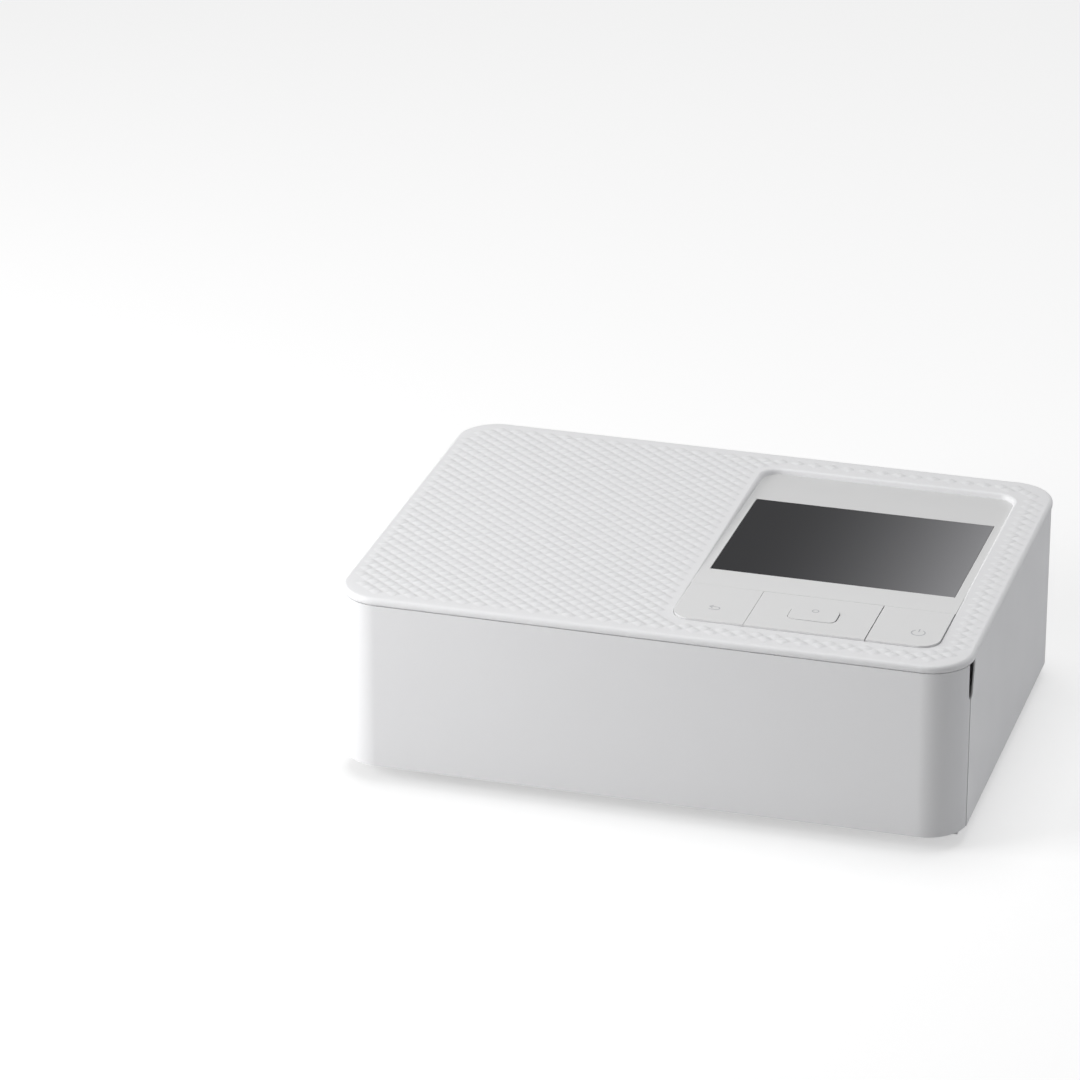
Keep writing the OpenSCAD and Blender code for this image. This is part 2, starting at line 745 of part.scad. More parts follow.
module front_bezel() {
    color(grey) difference() {
        union() {
            block(-base_x, base_x, shell_front, bezel_back, floor_z, bezel_top);
            // Raised rim round the bay's mouth
            round_block_y(bay_x0 - 2.5, bay_x1 + 2.5, bay_floor - 2.2, bay_floor + bay_h + 2.5,
                shell_front - 1, bezel_back - weld, 2);
        }
        round_block_y(bay_x0, bay_x1, bay_floor, bay_floor + bay_h, shell_front - 3, bezel_back + cut, 0.8);
        for (s = [-1, 1]) {
            x = s * hook_x;
            block(x - hook_w / 2 - 0.6, x + hook_w / 2 + 0.6, shell_front - cut, bezel_back + cut,
                hook_z - 0.6, hook_z + hook_t + 1);
            // Room behind the finger notches
            block(s * base_x - 5.5, s * base_x + 5.5, shell_front - cut, bezel_back + cut,
                shell_top - notch_h - 3, body_h);
            // Room for the hinge arms
            block(s * (arm_x + arm_w / 2) - arm_w, s * (arm_x + arm_w / 2) + arm_w,
                shell_front - cut, bezel_back + cut, floor_z - cut, hinge_z + arm_r + 1);
        }
    }
}

module paper_bay() {
    color(grey) difference() {
        union() {
            block(bay_x0 - bay_wall, bay_x0, bezel_back, bay_back, floor_z, bay_floor + bay_h + bay_wall);
            block(bay_x1, bay_x1 + bay_wall, bezel_back, bay_back, floor_z, bay_floor + bay_h + bay_wall);
            block(bay_x0 - bay_wall, bay_x1 + bay_wall, bezel_back, bay_back,
                bay_floor - bay_wall, bay_floor);
            block(bay_x0 - bay_wall, bay_x1 + bay_wall, bezel_back, bay_roof_back,
                bay_floor + bay_h, bay_floor + bay_h + bay_wall);
            for (x = [path_x - bay_rib_pitch, path_x, path_x + bay_rib_pitch])
                block(x - 0.8, x + 0.8, bezel_back, bezel_back + 7, floor_z, bay_floor - 0.2);
        }
        // Window of the lift plate, with bores for its pins
        block(path_x - lift_w / 2 - slip, path_x + lift_w / 2 + slip, lift_y0 - 1, lift_y1 + slip,
            bay_floor - bay_wall - cut, bay_floor + cut);
        rod(path_x - lift_w / 2 - 2.2, path_x + lift_w / 2 + 2.2,
            [lift_y0, bay_floor - bay_wall / 2], lift_pin_r + run);
        // The pick-up shaft passes over the side walls
        for (x = [bay_x0 - bay_wall / 2, bay_x1 + bay_wall / 2])
            block(x - bay_wall, x + bay_wall, bay_roof_back + 2, bay_back + cut,
                pickup_c[1] - pickup_shaft_r - 1.2, body_h);
    }
}

module lift_plate() {
    c = [lift_y0, bay_floor - bay_wall / 2];
    color(steel) {
        block(path_x - lift_w / 2, path_x + lift_w / 2, lift_y0, lift_y1,
            c[1] - lift_t / 2, c[1] + lift_t / 2);
        rod(path_x - lift_w / 2, path_x + lift_w / 2, c, lift_t / 2);
        rod(path_x - lift_w / 2 - 1.8, path_x + lift_w / 2 + 1.8, c, lift_pin_r);
    }
}

// ---- control panel ----

module control_panel() {
    color(white) difference() {
        union() {
            intersection() {
                under_panel(panel_x0, panel_x1, deck_y, panel_y1, panel_floor, 0);
                round_block(panel_x0 + glass_gap, panel_x1 - glass_gap, panel_y0, panel_y1 - glass_gap,
                    0, body_h + cut, panel_r - glass_gap);
            }
            // Flange under the top cover
            difference() {
                round_block(panel_x0 - flange_w, panel_x1 + flange_w,
                    panel_y0 - flange_w, panel_y1 + flange_w, panel_floor, cover_z0, panel_r + flange_w);
                round_block(panel_x0 + flange_lip, panel_x1 - flange_lip, panel_y0 + flange_lip,
                    deck_y + cut, panel_floor - cut, cover_z0 + cut, panel_r - flange_lip);
            }
            // Bars under the slits between the keys
            for (x = [pad_x0 - key_gap / 2, pad_x1 + key_gap / 2])
                block(x - bar_w / 2, x + bar_w / 2, panel_y0, deck_y + 1, bar_z0, cover_z0 - 0.4);
            for (x = key_arm_xs) key_ears(x);
            // Posts of the key board
            for (x = [panel_x0 + 1.2, panel_x1 - 1.2], y = [deck_y + 3.5, panel_y0 + 8])
                block(x - 1.2, x + 1.2, y - 1.5, y + 1.5, board_z1, panel_floor + weld);
        }
        // Window of the display
        block(glass_x - glass_w / 2 - glass_gap, glass_x + glass_w / 2 + glass_gap,
            glass_y0 - glass_gap, glass_y1 + glass_gap, panel_floor - cut, body_h + cut);
        for (x = [pad_x0 - key_gap / 2, pad_x1 + key_gap / 2])
            rod(x - bar_w, x + bar_w, [pad_cy, gimbal_z], gimbal_pin_r + run);
        for (x = key_arm_xs) rod(x - key_arm_w / 2 - ear_w - cut, x + key_arm_w / 2 + ear_w + cut,
                [key_hinge_y, key_hinge_z], key_pin_r + run);
    }
}

arm_share = 0.22;    // how far in from its side each arm of a key stands, as a share of the key's width
power_x1 = panel_x1 - key_gap;
back_arms = [for (t = [arm_share, 1 - arm_share]) back_x1 - t * back_key_w];
power_arms = [for (t = [arm_share, 1 - arm_share]) power_x1 - t * (power_x1 - power_x0)];
key_arm_xs = concat(back_arms, power_arms);

// Two ears under the panel's deck that take the pins of one key arm
module key_ears(x) {
    for (s = [-1, 1]) {
        a = x + s * (key_arm_w / 2 + 0.2);
        b = x + s * (key_arm_w / 2 + 0.2 + ear_w);
        block(min(a, b), max(a, b), key_hinge_y - 1, key_hinge_y + 1, key_hinge_z - 1, panel_floor + weld);
    }
}

// The keys are one sloping slab that the gaps divide
module key_slab(x0, x1) {
    intersection() {
        under_panel(x0, x1, keys_y0, keys_y1, panel_floor, 0);
        along_x(x0 - cut, x1 + cut) polygon([
            [keys_y0 - 1, panel_z(keys_y0 - 1) - key_t], [keys_y1 + 1, panel_z(keys_y1 + 1) - key_t],
            [keys_y1 + 1, panel_z(keys_y1 + 1) + 1], [keys_y0 - 1, panel_z(keys_y0 - 1) + 1]
        ]);
        round_block(panel_x0 + key_gap, power_x1, keys_y0, panel_y1, 0, body_h + cut, panel_r - key_gap);
    }
}

// The arm that runs back under the deck from a hinged key
module key_arm(x) {
    c = [key_hinge_y, key_hinge_z];
    half = key_arm_w / 2;
    pin = half + 0.2 + ear_w;
    block(x - half, x + half, keys_y1 - 3, keys_y1 - 0.4, c[1] - 0.8, panel_z(keys_y1) - key_t + weld);
    block(x - half, x + half, keys_y1 - 3, c[0], c[1] - 0.8, c[1] + 0.8);
    rod(x - half, x + half, c, 0.8);
    rod(x - pin, x + pin, c, key_pin_r);
}

module plunger(x, y) {
    translate([x, y, plunger_z]) cylinder(h = panel_z(y) - key_t - plunger_z + weld, r = 1.1);
}

module back_key() {
    color(white) {
        key_slab(panel_x0 + key_gap, back_x1);
        for (x = back_arms) key_arm(x);
        plunger((panel_x0 + back_x1) / 2, pad_cy);
    }
}

module power_key() {
    color(white) {
        key_slab(power_x0, power_x1);
        for (x = power_arms) key_arm(x);
        plunger((power_x0 + panel_x1) / 2, pad_cy);
    }
}

module nav_pad() {
    color(white) {
        difference() {
            key_slab(pad_x0, pad_x1);
            round_block(pad_cx - ok_w / 2 - key_gap, pad_cx + ok_w / 2 + key_gap, pad_cy - ok_d / 2 - key_gap,
                pad_cy + ok_d / 2 + key_gap, 0, body_h + cut, ok_r + key_gap);
        }
        for (x = [-1, 1]) plunger(pad_cx + x * (gimbal_wx / 2 - gimbal_rim - 2.2), pad_cy);
        for (y = [-1, 1]) {
            plunger(pad_cx, pad_cy + y * (gimbal_wy / 2 - gimbal_rim - 1.4));
            // Trunnion lug outside the gimbal ring, with a pin that points inwards
            in_y = pad_cy + y * (gimbal_wy / 2 + 0.3);
            out_y = pad_cy + y * (gimbal_wy / 2 + 1.7);
            pin_y = pad_cy + y * (gimbal_wy / 2 - 2);
            block(pad_cx - 1.5, pad_cx + 1.5, min(in_y, out_y), max(in_y, out_y), gimbal_z - 0.9,
                panel_z(pad_cy + y * gimbal_wy / 2) - key_t + weld);
            translate([pad_cx, min(pin_y, out_y), gimbal_z]) rotate([-90, 0, 0])
                cylinder(h = abs(out_y - pin_y), r = gimbal_pin_r);
        }
    }
}

module nav_gimbal() {
    color(dark) {
        difference() {
            block(pad_cx - gimbal_wx / 2, pad_cx + gimbal_wx / 2,
                pad_cy - gimbal_wy / 2, pad_cy + gimbal_wy / 2,
                gimbal_z - gimbal_h / 2, gimbal_z + gimbal_h / 2);
            block(pad_cx - gimbal_wx / 2 + gimbal_rim, pad_cx + gimbal_wx / 2 - gimbal_rim,
                pad_cy - gimbal_wy / 2 + gimbal_rim, pad_cy + gimbal_wy / 2 - gimbal_rim,
                gimbal_z - gimbal_h, gimbal_z + gimbal_h);
            translate([pad_cx, pad_cy - gimbal_wy, gimbal_z]) rotate([-90, 0, 0])
                cylinder(h = 2 * gimbal_wy, r = gimbal_pin_r + run);
        }
        for (s = [-1, 1]) {
            a = pad_cx + s * (gimbal_wx / 2 - 1);
            b = s < 0 ? pad_x0 - key_gap / 2 - 0.6 : pad_x1 + key_gap / 2 + 0.6;
            rod(min(a, b), max(a, b), [pad_cy, gimbal_z], gimbal_pin_r);
        }
    }
}

module ok_key() {
    color(white) {
        intersection() {
            translate([0, 0, ok_rise]) key_slab(pad_x0, pad_x1);
            round_block(pad_cx - ok_w / 2, pad_cx + ok_w / 2, pad_cy - ok_d / 2, pad_cy + ok_d / 2,
                0, body_h + cut, ok_r);
        }
        plunger(pad_cx, pad_cy);
    }
}

switch_spots = [
    [(panel_x0 + back_x1) / 2, pad_cy], [(power_x0 + panel_x1) / 2, pad_cy], [pad_cx, pad_cy],
    [pad_cx - gimbal_wx / 2 + gimbal_rim + 2.2, pad_cy], [pad_cx + gimbal_wx / 2 - gimbal_rim - 2.2, pad_cy],
    [pad_cx, pad_cy - gimbal_wy / 2 + gimbal_rim + 1.4], [pad_cx, pad_cy + gimbal_wy / 2 - gimbal_rim - 1.4]
];

module key_board() {
    color(board_green) block(panel_x0, panel_x1, panel_y0 + 2.4, deck_y + 5.2, board_z0, board_z1);
}

module key_switches() {
    color(steel) for (p = switch_spots) translate([p[0], p[1], board_z1]) {
        translate([-1.5, -1.4, 0]) cube([3, 2.8, switch_h - 0.5]);
        cylinder(h = switch_h, r = 0.9);
    }
}

module lcd_glass() {
    color(black) intersection() {
        along_x(glass_x - glass_w / 2, glass_x + glass_w / 2) polygon([
            [glass_y0, panel_z(glass_y0) - glass_t], [glass_y1, panel_z(glass_y1) - glass_t],
            [glass_y1, panel_z(glass_y1)], [glass_y0, panel_z(glass_y0)]
        ]);
        round_block(glass_x - glass_w / 2, glass_x + glass_w / 2, glass_y0, glass_y1, 0, body_h + cut, 0.6);
    }
}

module lcd_module() {
    color(steel) {
        block(glass_x - glass_w / 2 - lcd_border, glass_x + glass_w / 2 + lcd_border,
            glass_y0 - lcd_border + 0.8, glass_y1 + lcd_border, lcd_z0, panel_floor);
        under_panel(glass_x - glass_w / 2 + 0.2, glass_x + glass_w / 2 - 0.2, glass_y0 + 0.2, glass_y1 - 0.2,
            panel_floor - weld, glass_t + 0.05);
    }
}

// ---- frames, rollers and gears ----

module frame_plate(x0, foot_x0) {
    block(x0, x0 + frame_t, frame_y0, frame_y1, floor_z, frame_z1);
    // Foot flanges
    for (y = [frame_y0 + 4, frame_y1 - 14])
        block(foot_x0, foot_x0 + 4, y, y + 8, floor_z, floor_z + frame_t);
}

module shaft_holes(x0) {
    for (c = [[platen_c, platen_shaft_r + bush_t + run], [capstan_c, capstan_shaft_r + bush_t + run],
            [pickup_c, pickup_shaft_r + run], [pinch_c, pinch_shaft_r + run], [head_pivot, head_pin_r + run]])
        rod(x0 - cut, x0 + frame_t + cut, c[0], c[1]);
}

module left_frame() {
    tall = takeup_c[1] + trough_r + 2.3;
    color(steel) difference() {
        union() {
            frame_plate(left_x, left_x + frame_t - 4);
            block(left_x, left_x + frame_t, frame_y0 + 16, frame_y1, frame_z1 - weld, tall);
        }
        shaft_holes(left_x);
        // The ink cassette slides through here, on both sides of the tongue that carries the head
        along_x(left_x - cut, left_x + frame_t + cut) {
            translate(supply_c) circle(trough_r + 0.3);
            translate(takeup_c) circle(trough_r + 0.3);
            translate([supply_c[0], line_z - 0.6]) square([spool_gap, bridge_z1 - line_z + 1]);
        }
        // Corner cut away round the card slot
        block(left_x - 2 * cut, left_x + frame_t + cut, frame_y0 - cut, card_y0 + card_w + 0.5,
            card_z0 - 0.4, body_h);
    }
}

module right_frame() {
    color(steel) {
        difference() {
            frame_plate(right_x, right_x);
            shaft_holes(right_x);
            rod(right_x - cut, right_x + frame_t + cut, takeup_c, core_r + run);
        }
        rod(right_x + frame_t - weld, gear_x1 + 0.8, idler_c, stud_r);
    }
}

module gear_bracket() {
    y0 = idler_c[0] - 3;
    y1 = frame_y1;
    posts = [
        [idler_c[0] + 8.9, floor_z + 3], [idler_c[0], frame_z1 - 5],
        [y1 - 3, floor_z + 5], [y1 - 3, frame_z1 - 4]
    ];
    color(steel) difference() {
        union() {
            block(bracket_x, bracket_x + frame_t, y0, y1, floor_z, frame_z1 - 1);
            for (p = posts) rod(right_x + frame_t, bracket_x + weld, p, standoff_r);
            block(bracket_x, bracket_x + 4, y0, y0 + 8, floor_z, floor_z + frame_t);
        }
        rod(bracket_x - cut, bracket_x + frame_t + cut, pinion_c, 3);
        rod(bracket_x - cut, bracket_x + frame_t + cut, ribbon_c, 2.5);
        rod(bracket_x - cut, bracket_x + frame_t + cut, platen_c, platen_shaft_r + 1);
        rod(bracket_x - cut, bracket_x + frame_t + cut, [platen_c[0] + 3.5, platen_c[1] + 9.6], 3);
    }
}

module shaft_bushes() {
    color(brass) for (s = [[platen_c, platen_shaft_r], [capstan_c, capstan_shaft_r]], x = [left_x, right_x])
        difference() {
            union() {
                rod(x - 0.6, x + frame_t + 0.2, s[0], s[1] + bush_t);
                rod(x - 0.6, x, s[0], s[1] + bush_t + 1);
            }
            rod(x - cut, x + frame_t + cut, s[0], s[1] + run);
        }
}

module pickup_roller() {
    color(dark) rod(shaft_x0, gear_x1 + 0.2, pickup_c, pickup_shaft_r);
    color(black) for (x = [path_x - tyre_gap / 2 - tyre_l, path_x + tyre_gap / 2]) difference() {
        rod(x, x + tyre_l, pickup_c, pickup_r);
        for (a = [0:30:330]) rod(x - cut, x + tyre_l + cut, polar(pickup_c, pickup_r + 0.5, a), 0.9);
    }
}

module pickup_gear() {
    color(white)
        gear(pickup_c, pickup_teeth, gear_m, pickup_turn, gear_x0, gear_x1, pickup_shaft_r + press, 4);
}

module capstan() {
    color(steel) {
        rod(roller_x0 - 3, roller_x1 + 2, capstan_c, capstan_r);
        rod(shaft_x0, gear_x1 + 0.2, capstan_c, capstan_shaft_r);
    }
}

module capstan_gear() {
    color(white)
        gear(capstan_c, capstan_teeth, gear_m, capstan_turn, gear_x0, gear_x1, capstan_shaft_r + press, 4);
}

module pinch_roller() {
    color(dark) {
        rod(roller_x0, roller_x1, pinch_c, pinch_r);
        rod(shaft_x0 + 1, right_x + frame_t + 0.4, pinch_c, pinch_shaft_r);
    }
}

module platen_shaft() {
    color(steel) rod(shaft_x0, gear_x1 + 0.4, platen_c, platen_shaft_r);
}

module platen_rubber() {
    color(black) difference() {
        rod(roller_x0, roller_x1, platen_c, platen_r);
        rod(roller_x0 - cut, roller_x1 + cut, platen_c, platen_shaft_r);
    }
}

module platen_gear() {
    color(white)
        gear(platen_c, platen_teeth, gear_m, 0, gear_x0, gear_x1, platen_shaft_r + press, 5);
}

module idler_gear() {
    color(white) gear(idler_c, idler_teeth, gear_m, idler_turn, gear_x0, gear_x1, stud_r + run, 4);
}

module motor_pinion(c, teeth, m, turn) {
    translate([gear_x0, c[0], c[1]]) rotate([90, 0, 90]) rotate([0, 0, turn])
        linear_extrude(gear_face) polygon(gear_outline(teeth, m));
    rod(gear_x0, bracket_x + frame_t + 3.5, c, motor_shaft_r);
}

module motor_can(c, r, l) {
    x0 = bracket_x + frame_t;
    difference() {
        union() {
            rod(x0, x0 + l, c, r);
            rod(bracket_x, x0 + weld, c, 2.2);
            rod(x0 + l - weld, x0 + l + 1.6, c, r * 0.45);
        }
        rod(bracket_x - cut, x0 + 4, c, motor_shaft_r + run);
    }
}

module feed_pinion() {
    color(brass) motor_pinion(pinion_c, pinion_teeth, gear_m, pinion_turn);
}

module feed_motor() {
    color(steel) motor_can(pinion_c, feed_can_r, feed_can_l);
}

module takeup_gear() {
    color(white) {
        gear(takeup_c, takeup_teeth, ribbon_m, 0, gear_x0, gear_x1 - 1, 1, core_r);
        rod(cass_x1 + 0.4, gear_x0 + 1, takeup_c, core_r - 0.05);
    }
}

module ribbon_pinion() {
    color(brass) motor_pinion(ribbon_c, ribbon_pinion_teeth, ribbon_m, ribbon_turn);
}

module ribbon_motor() {
    color(steel) motor_can(ribbon_c, ribbon_can_r, ribbon_can_l);
}

module thermal_head() {
    color(dark) {
        block(roller_x0, roller_x1, head_y0, head_y1, head_z0 + 0.5, sink_z0);
        rod(roller_x0 + 1, roller_x1 - 1, [platen_c[0], head_z0 + 1.2], 1.2);
    }
}

module head_heatsink() {
    pitch = (sink_y1 - sink_y0 - fin_t) / (fins - 1);
    color(steel) {
        block(roller_x0, roller_x1, sink_y0, sink_y1, sink_z0, sink_z0 + 2);
        for (i = [0:fins - 1])
            block(roller_x0, roller_x1, sink_y0 + i * pitch, sink_y0 + i * pitch + fin_t,
                sink_z0 + 2 - weld, sink_z1);
    }
}

module head_bracket() {
    color(steel) for (s = [-1, 1]) {
        x = s < 0 ? roller_x0 - head_plate_t : roller_x1;
        pin_in = s < 0 ? roller_x0 - head_plate_t / 2 : roller_x1 + head_plate_t / 2;
        pin_out = s < 0 ? left_x - 0.6 : right_x + frame_t + 0.4;
        along_x(x, x + head_plate_t) {
            translate([sink_y0, sink_z0]) square([sink_y1 - sink_y0, sink_z1 - sink_z0]);
            translate(head_pivot) circle(2.3);
            translate([head_pivot[0], head_pivot[1] - 2.3]) square([4, 4.6]);
        }
        rod(min(pin_in, pin_out), max(pin_in, pin_out), head_pivot, head_pin_r);
    }
}

// One trough: a tube that is open below, on the side of the gap
module trough(c, side) {
    difference() {
        circle_at(c, trough_r);
        circle_at(c, trough_r - trough_wall);
        polygon(concat([c], [for (a = [-8, 40, 78]) polar(c, 2 * trough_r, 270 + side * a)]));
    }
}

module circle_at(c, r) {
    translate(c) circle(r);
}

module ink_cassette() {
    color(dark) {
        difference() {
            union() {
                along_x(cass_x0, cass_x1) trough(supply_c, 1);
                along_x(cass_x0, cass_x1) trough(takeup_c, -1);
                for (x = [cass_x0, cass_x1 - cap_l]) {
                    rod(x, x + cap_l, supply_c, trough_r - weld);
                    rod(x, x + cap_l, takeup_c, trough_r - weld);
                    block(x, x + cap_l, supply_c[0], takeup_c[0], bridge_z0, bridge_z1);
                }
            }
            for (c = [supply_c, takeup_c]) rod(cass_x0 + 1, cass_x1 + cut, c, core_r + run);
        }
        // Grip of the cassette, behind the ink door
        block(cass_x0 - 2, cass_x0 + weld, supply_c[0] + spool_gap / 2 - 9, supply_c[0] + spool_gap / 2 + 9,
            bridge_z0 + 1, bridge_z0 + 3);
    }
}

module supply_spool() {
    color(pale) rod(cass_x0 + 1.4, cass_x1 + 0.4, supply_c, core_r);
}

module takeup_spool() {
    color(pale) rod(cass_x0 + 1.4, cass_x1 + 0.4, takeup_c, core_r);
}

module ribbon_roll(c, r) {
    difference() {
        rod(roller_x0 + web_in - 1, roller_x1 - web_in + 1, c, r);
        rod(roller_x0, roller_x1, c, core_r);
    }
}

module supply_ribbon() {
    color(ribbon_red) ribbon_roll(supply_c, fresh_r);
}

module takeup_ribbon() {
    color(ribbon_blue) ribbon_roll(takeup_c, used_r);
}

module ribbon_web() {
    low_s = supply_c[1] - fresh_r - 0.15;
    low_t = takeup_c[1] - used_r - 0.15;
    y0 = head_y0;
    y1 = platen_c[0] + (platen_c[0] - head_y0);
    color(ribbon_red) along_x(roller_x0 + web_in, roller_x1 - web_in) polygon([
        [supply_c[0], low_s - web_t], [y0, web_z], [y1, web_z], [takeup_c[0], low_t - web_t],
        [takeup_c[0], low_t], [y1, web_z + web_t], [y0, web_z + web_t], [supply_c[0], low_s]
    ]);
}

guide_leg = 2;
guide_x0 = bay_x0 + 4;
guide_x1 = bay_x1 - 4;
guide_pitch = 15;

// Sloping plate that leads the paper from the stack to the capstan
module entry_guide() {
    y0 = bay_back + 0.4;
    y1 = capstan_c[0] - capstan_r - 0.8;
    low = capstan_c[1] - 6;
    high = line_z - paper_gap - 1.2;
    color(grey) {
        along_x(guide_x0, guide_x1) polygon([
            [y0, low], [y1 - 3, high], [y1, high + 0.4],
            [y1, high - 1], [y1 - 2.4, high - 1.6], [y0, low - 1.8]
        ]);
        for (x = [guide_x0, guide_x1 - guide_leg])
            block(x, x + guide_leg, y0, y0 + guide_leg, floor_z, low - 0.4);
    }
}

// Ribbed plate that carries the paper from the platen to the slot in the back
module exit_guide() {
    y0 = platen_c[0] + platen_r + 1;
    y1 = in_back - 0.2;
    z = line_z - paper_gap - 1;
    color(grey) {
        block(guide_x0, guide_x1, y0, y1, z - 1.6, z);
        for (i = [-3:3])
            block(path_x + i * guide_pitch - 0.6, path_x + i * guide_pitch + 0.6,
                y0 + 2, y1 - 2, z - 0.2, z + 0.6);
        for (x = [left_x + frame_t, right_x - 7]) block(x, x + 7, y0 + 6, frame_y1 - 6, z - 2.8, z - 1.4);
    }
}

// ---- electronics ----

module main_board() {
    color(board_green) block(main_x0, main_x1, main_y0, main_y1, pcb_z, pcb_z + board_t);
}

// A part on the main board, placed from the board's front left corner
module board_part(x0, x1, y0, y1, h) {
    block(main_x0 + x0, main_x0 + x1, main_y0 + y0, main_y0 + y1, pcb_z + board_t, pcb_z + board_t + h);
}

module capacitor(x, y, r, h) {
    translate([x, y, pcb_z + board_t]) cylinder(h = h, r = r);
}

module board_parts() {
    w = main_x1 - main_x0;
    d = main_y1 - main_y0;
    color(black) {
        board_part(w * 0.34, w * 0.94, d * 0.42, d * 0.65, 1.4);
        board_part(w * 0.43, w * 0.77, d * 0.76, d * 0.9, 1.2);
        board_part(w * 0.17, w * 0.51, d * 0.1, d * 0.2, 6);
    }
    color(steel) {
        for (i = [0:2]) capacitor(main_x1 - 5, main_y0 + d * (0.06 + 0.13 * i), 2.6, 8);
        for (i = [0:1]) capacitor(power_x1_board - 6, power_y0 + 5 + i * 9, 3.5, 10);
    }
}

module power_board() {
    color(board_green) block(power_x0_board, power_x1_board, power_y0, power_y1, pcb_z, pcb_z + board_t);
}

module dc_jack() {
    z0 = pcb_z + board_t;
    y0 = power_y1 - 12;
    color(black) {
        difference() {
            union() {
                block(jack_x - 4.6, jack_x + 4.6, y0, power_y1, z0, jack_z + 4.6);
                translate([jack_x, power_y1 - cut, jack_z]) rotate([-90, 0, 0])
                    cylinder(h = jack_y1 - power_y1 + cut, r = jack_collar_r);
            }
            translate([jack_x, jack_y1 - jack_depth, jack_z]) rotate([-90, 0, 0])
                cylinder(h = jack_depth + cut, r = jack_bore_r);
            // Narrower well that holds the centre contact
            translate([jack_x, jack_y1 - jack_depth - jack_well, jack_z]) rotate([-90, 0, 0])
                cylinder(h = jack_well + cut, r = jack_well_r);
        }
        translate([jack_x, jack_y1 - jack_depth - jack_well - weld, jack_z]) rotate([-90, 0, 0])
            cylinder(h = jack_well, r = jack_pin_r);
    }
}

module usb_port() {
    z0 = pcb_z + board_t;
    color(steel) difference() {
        round_block_y(usb_x - usb_w / 2, usb_x + usb_w / 2, z0, z0 + usb_h,
            power_y1 - 6, back_y - 0.4, usb_h / 2 - 0.05);
        round_block_y(usb_x - usb_w / 2 + 0.4, usb_x + usb_w / 2 - 0.4, z0 + 0.4, z0 + usb_h - 0.4,
            power_y1 - 5, back_y + cut, usb_h / 2 - 0.45);
    }
}

// The room for a memory card between x0 and x1
module card_mouth(x0, x1) {
    block(x0, x1, card_y0 + card_lip, card_y0 + card_w - card_lip, card_z0 + 0.5, card_z0 + card_h - 0.5);
}

module card_slot() {
    color(steel) difference() {
        block(-in_x + slip, -in_x + card_l, card_y0, card_y0 + card_w, card_z0, card_z0 + card_h);
        card_mouth(-in_x - cut, -in_x + card_l - 2);
    }
}

base_tray();
base_screws();
rubber_feet();
side_shell();
top_cover();
front_cover();
front_bezel();
paper_bay();
lift_plate();
ink_door();
control_panel();
lcd_glass();
lcd_module();
back_key();
nav_gimbal();
nav_pad();
ok_key();
power_key();
key_board();
key_switches();
left_frame();
right_frame();
gear_bracket();
shaft_bushes();
pickup_roller();
pickup_gear();
capstan();
capstan_gear();
pinch_roller();
platen_shaft();
platen_rubber();
platen_gear();
idler_gear();
feed_pinion();
feed_motor();
takeup_gear();
ribbon_pinion();
ribbon_motor();
thermal_head();
head_heatsink();
head_bracket();
ink_cassette();
supply_spool();
supply_ribbon();
takeup_spool();
takeup_ribbon();
ribbon_web();
entry_guide();
exit_guide();
main_board();
board_parts();
power_board();
dc_jack();
usb_port();
card_slot();
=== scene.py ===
"""Looks of the compact photo printer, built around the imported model.

Lengths are in millimetres, and MM turns them into metres. The lamps and the floor's size are in metres."""
import bmesh
import bpy
import json
from math import cos, hypot, radians, sin
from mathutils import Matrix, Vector
from mathutils.geometry import delaunay_2d_cdt

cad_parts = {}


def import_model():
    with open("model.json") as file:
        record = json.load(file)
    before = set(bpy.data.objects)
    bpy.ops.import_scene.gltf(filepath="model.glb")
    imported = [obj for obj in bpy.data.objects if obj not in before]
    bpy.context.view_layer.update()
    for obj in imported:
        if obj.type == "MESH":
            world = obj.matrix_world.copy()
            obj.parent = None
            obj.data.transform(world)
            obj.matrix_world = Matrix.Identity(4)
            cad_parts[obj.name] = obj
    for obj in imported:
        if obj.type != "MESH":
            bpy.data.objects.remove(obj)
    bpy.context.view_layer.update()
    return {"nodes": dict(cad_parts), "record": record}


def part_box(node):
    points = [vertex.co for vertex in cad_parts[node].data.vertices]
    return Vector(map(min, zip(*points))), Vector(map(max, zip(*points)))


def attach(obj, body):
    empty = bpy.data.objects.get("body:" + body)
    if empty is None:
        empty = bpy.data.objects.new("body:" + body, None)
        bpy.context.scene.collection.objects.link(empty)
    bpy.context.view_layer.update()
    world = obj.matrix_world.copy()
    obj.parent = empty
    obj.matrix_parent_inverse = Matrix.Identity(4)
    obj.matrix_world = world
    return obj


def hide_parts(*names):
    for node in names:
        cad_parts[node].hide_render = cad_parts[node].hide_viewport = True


MM = 0.001

# Camera, fitted to the photograph with the printer's size fixed
CAMERA_AZIMUTH = 16.34
CAMERA_ELEVATION = 23.966
CAMERA_DISTANCE = 1536.107
CAMERA_TARGET = (-49.255, 0.0, 50.492)
CAMERA_LENS = 175.95
SENSOR = 36.0

# Top cover: its outline, and the panel's visible outline inside the flange that is under the cover
CORNER_R = 12.5
EDGE_R = 1.1
EDGE_STEPS = 5
SKIRT_EDGE = 0.1
PANEL_R = 6.0
PANEL_FLANGE = 2.5
# Edge of the recess: the size of its round, the width of its wall, and its reach where the panel isn't sunk
RECESS_R = 0.9
RECESS_WALL = 0.3
RECESS_EDGE = 0.35
# Least depth of the edge, how far it goes below the panel, and the further depth over which it becomes a wall
RECESS_LEAST = 0.25
RECESS_BELOW = 0.12
RECESS_DEEPENING = 1.3
# How far the foot of the edge reaches over the panel, and the smaller reach beside the right-hand key
RECESS_FOOT = 0.17
RECESS_FOOT_KEY = 0.06
# What counts as the recess's right side, and as not sunk
RIGHTWARD = 0.5
SHALLOW = 0.1
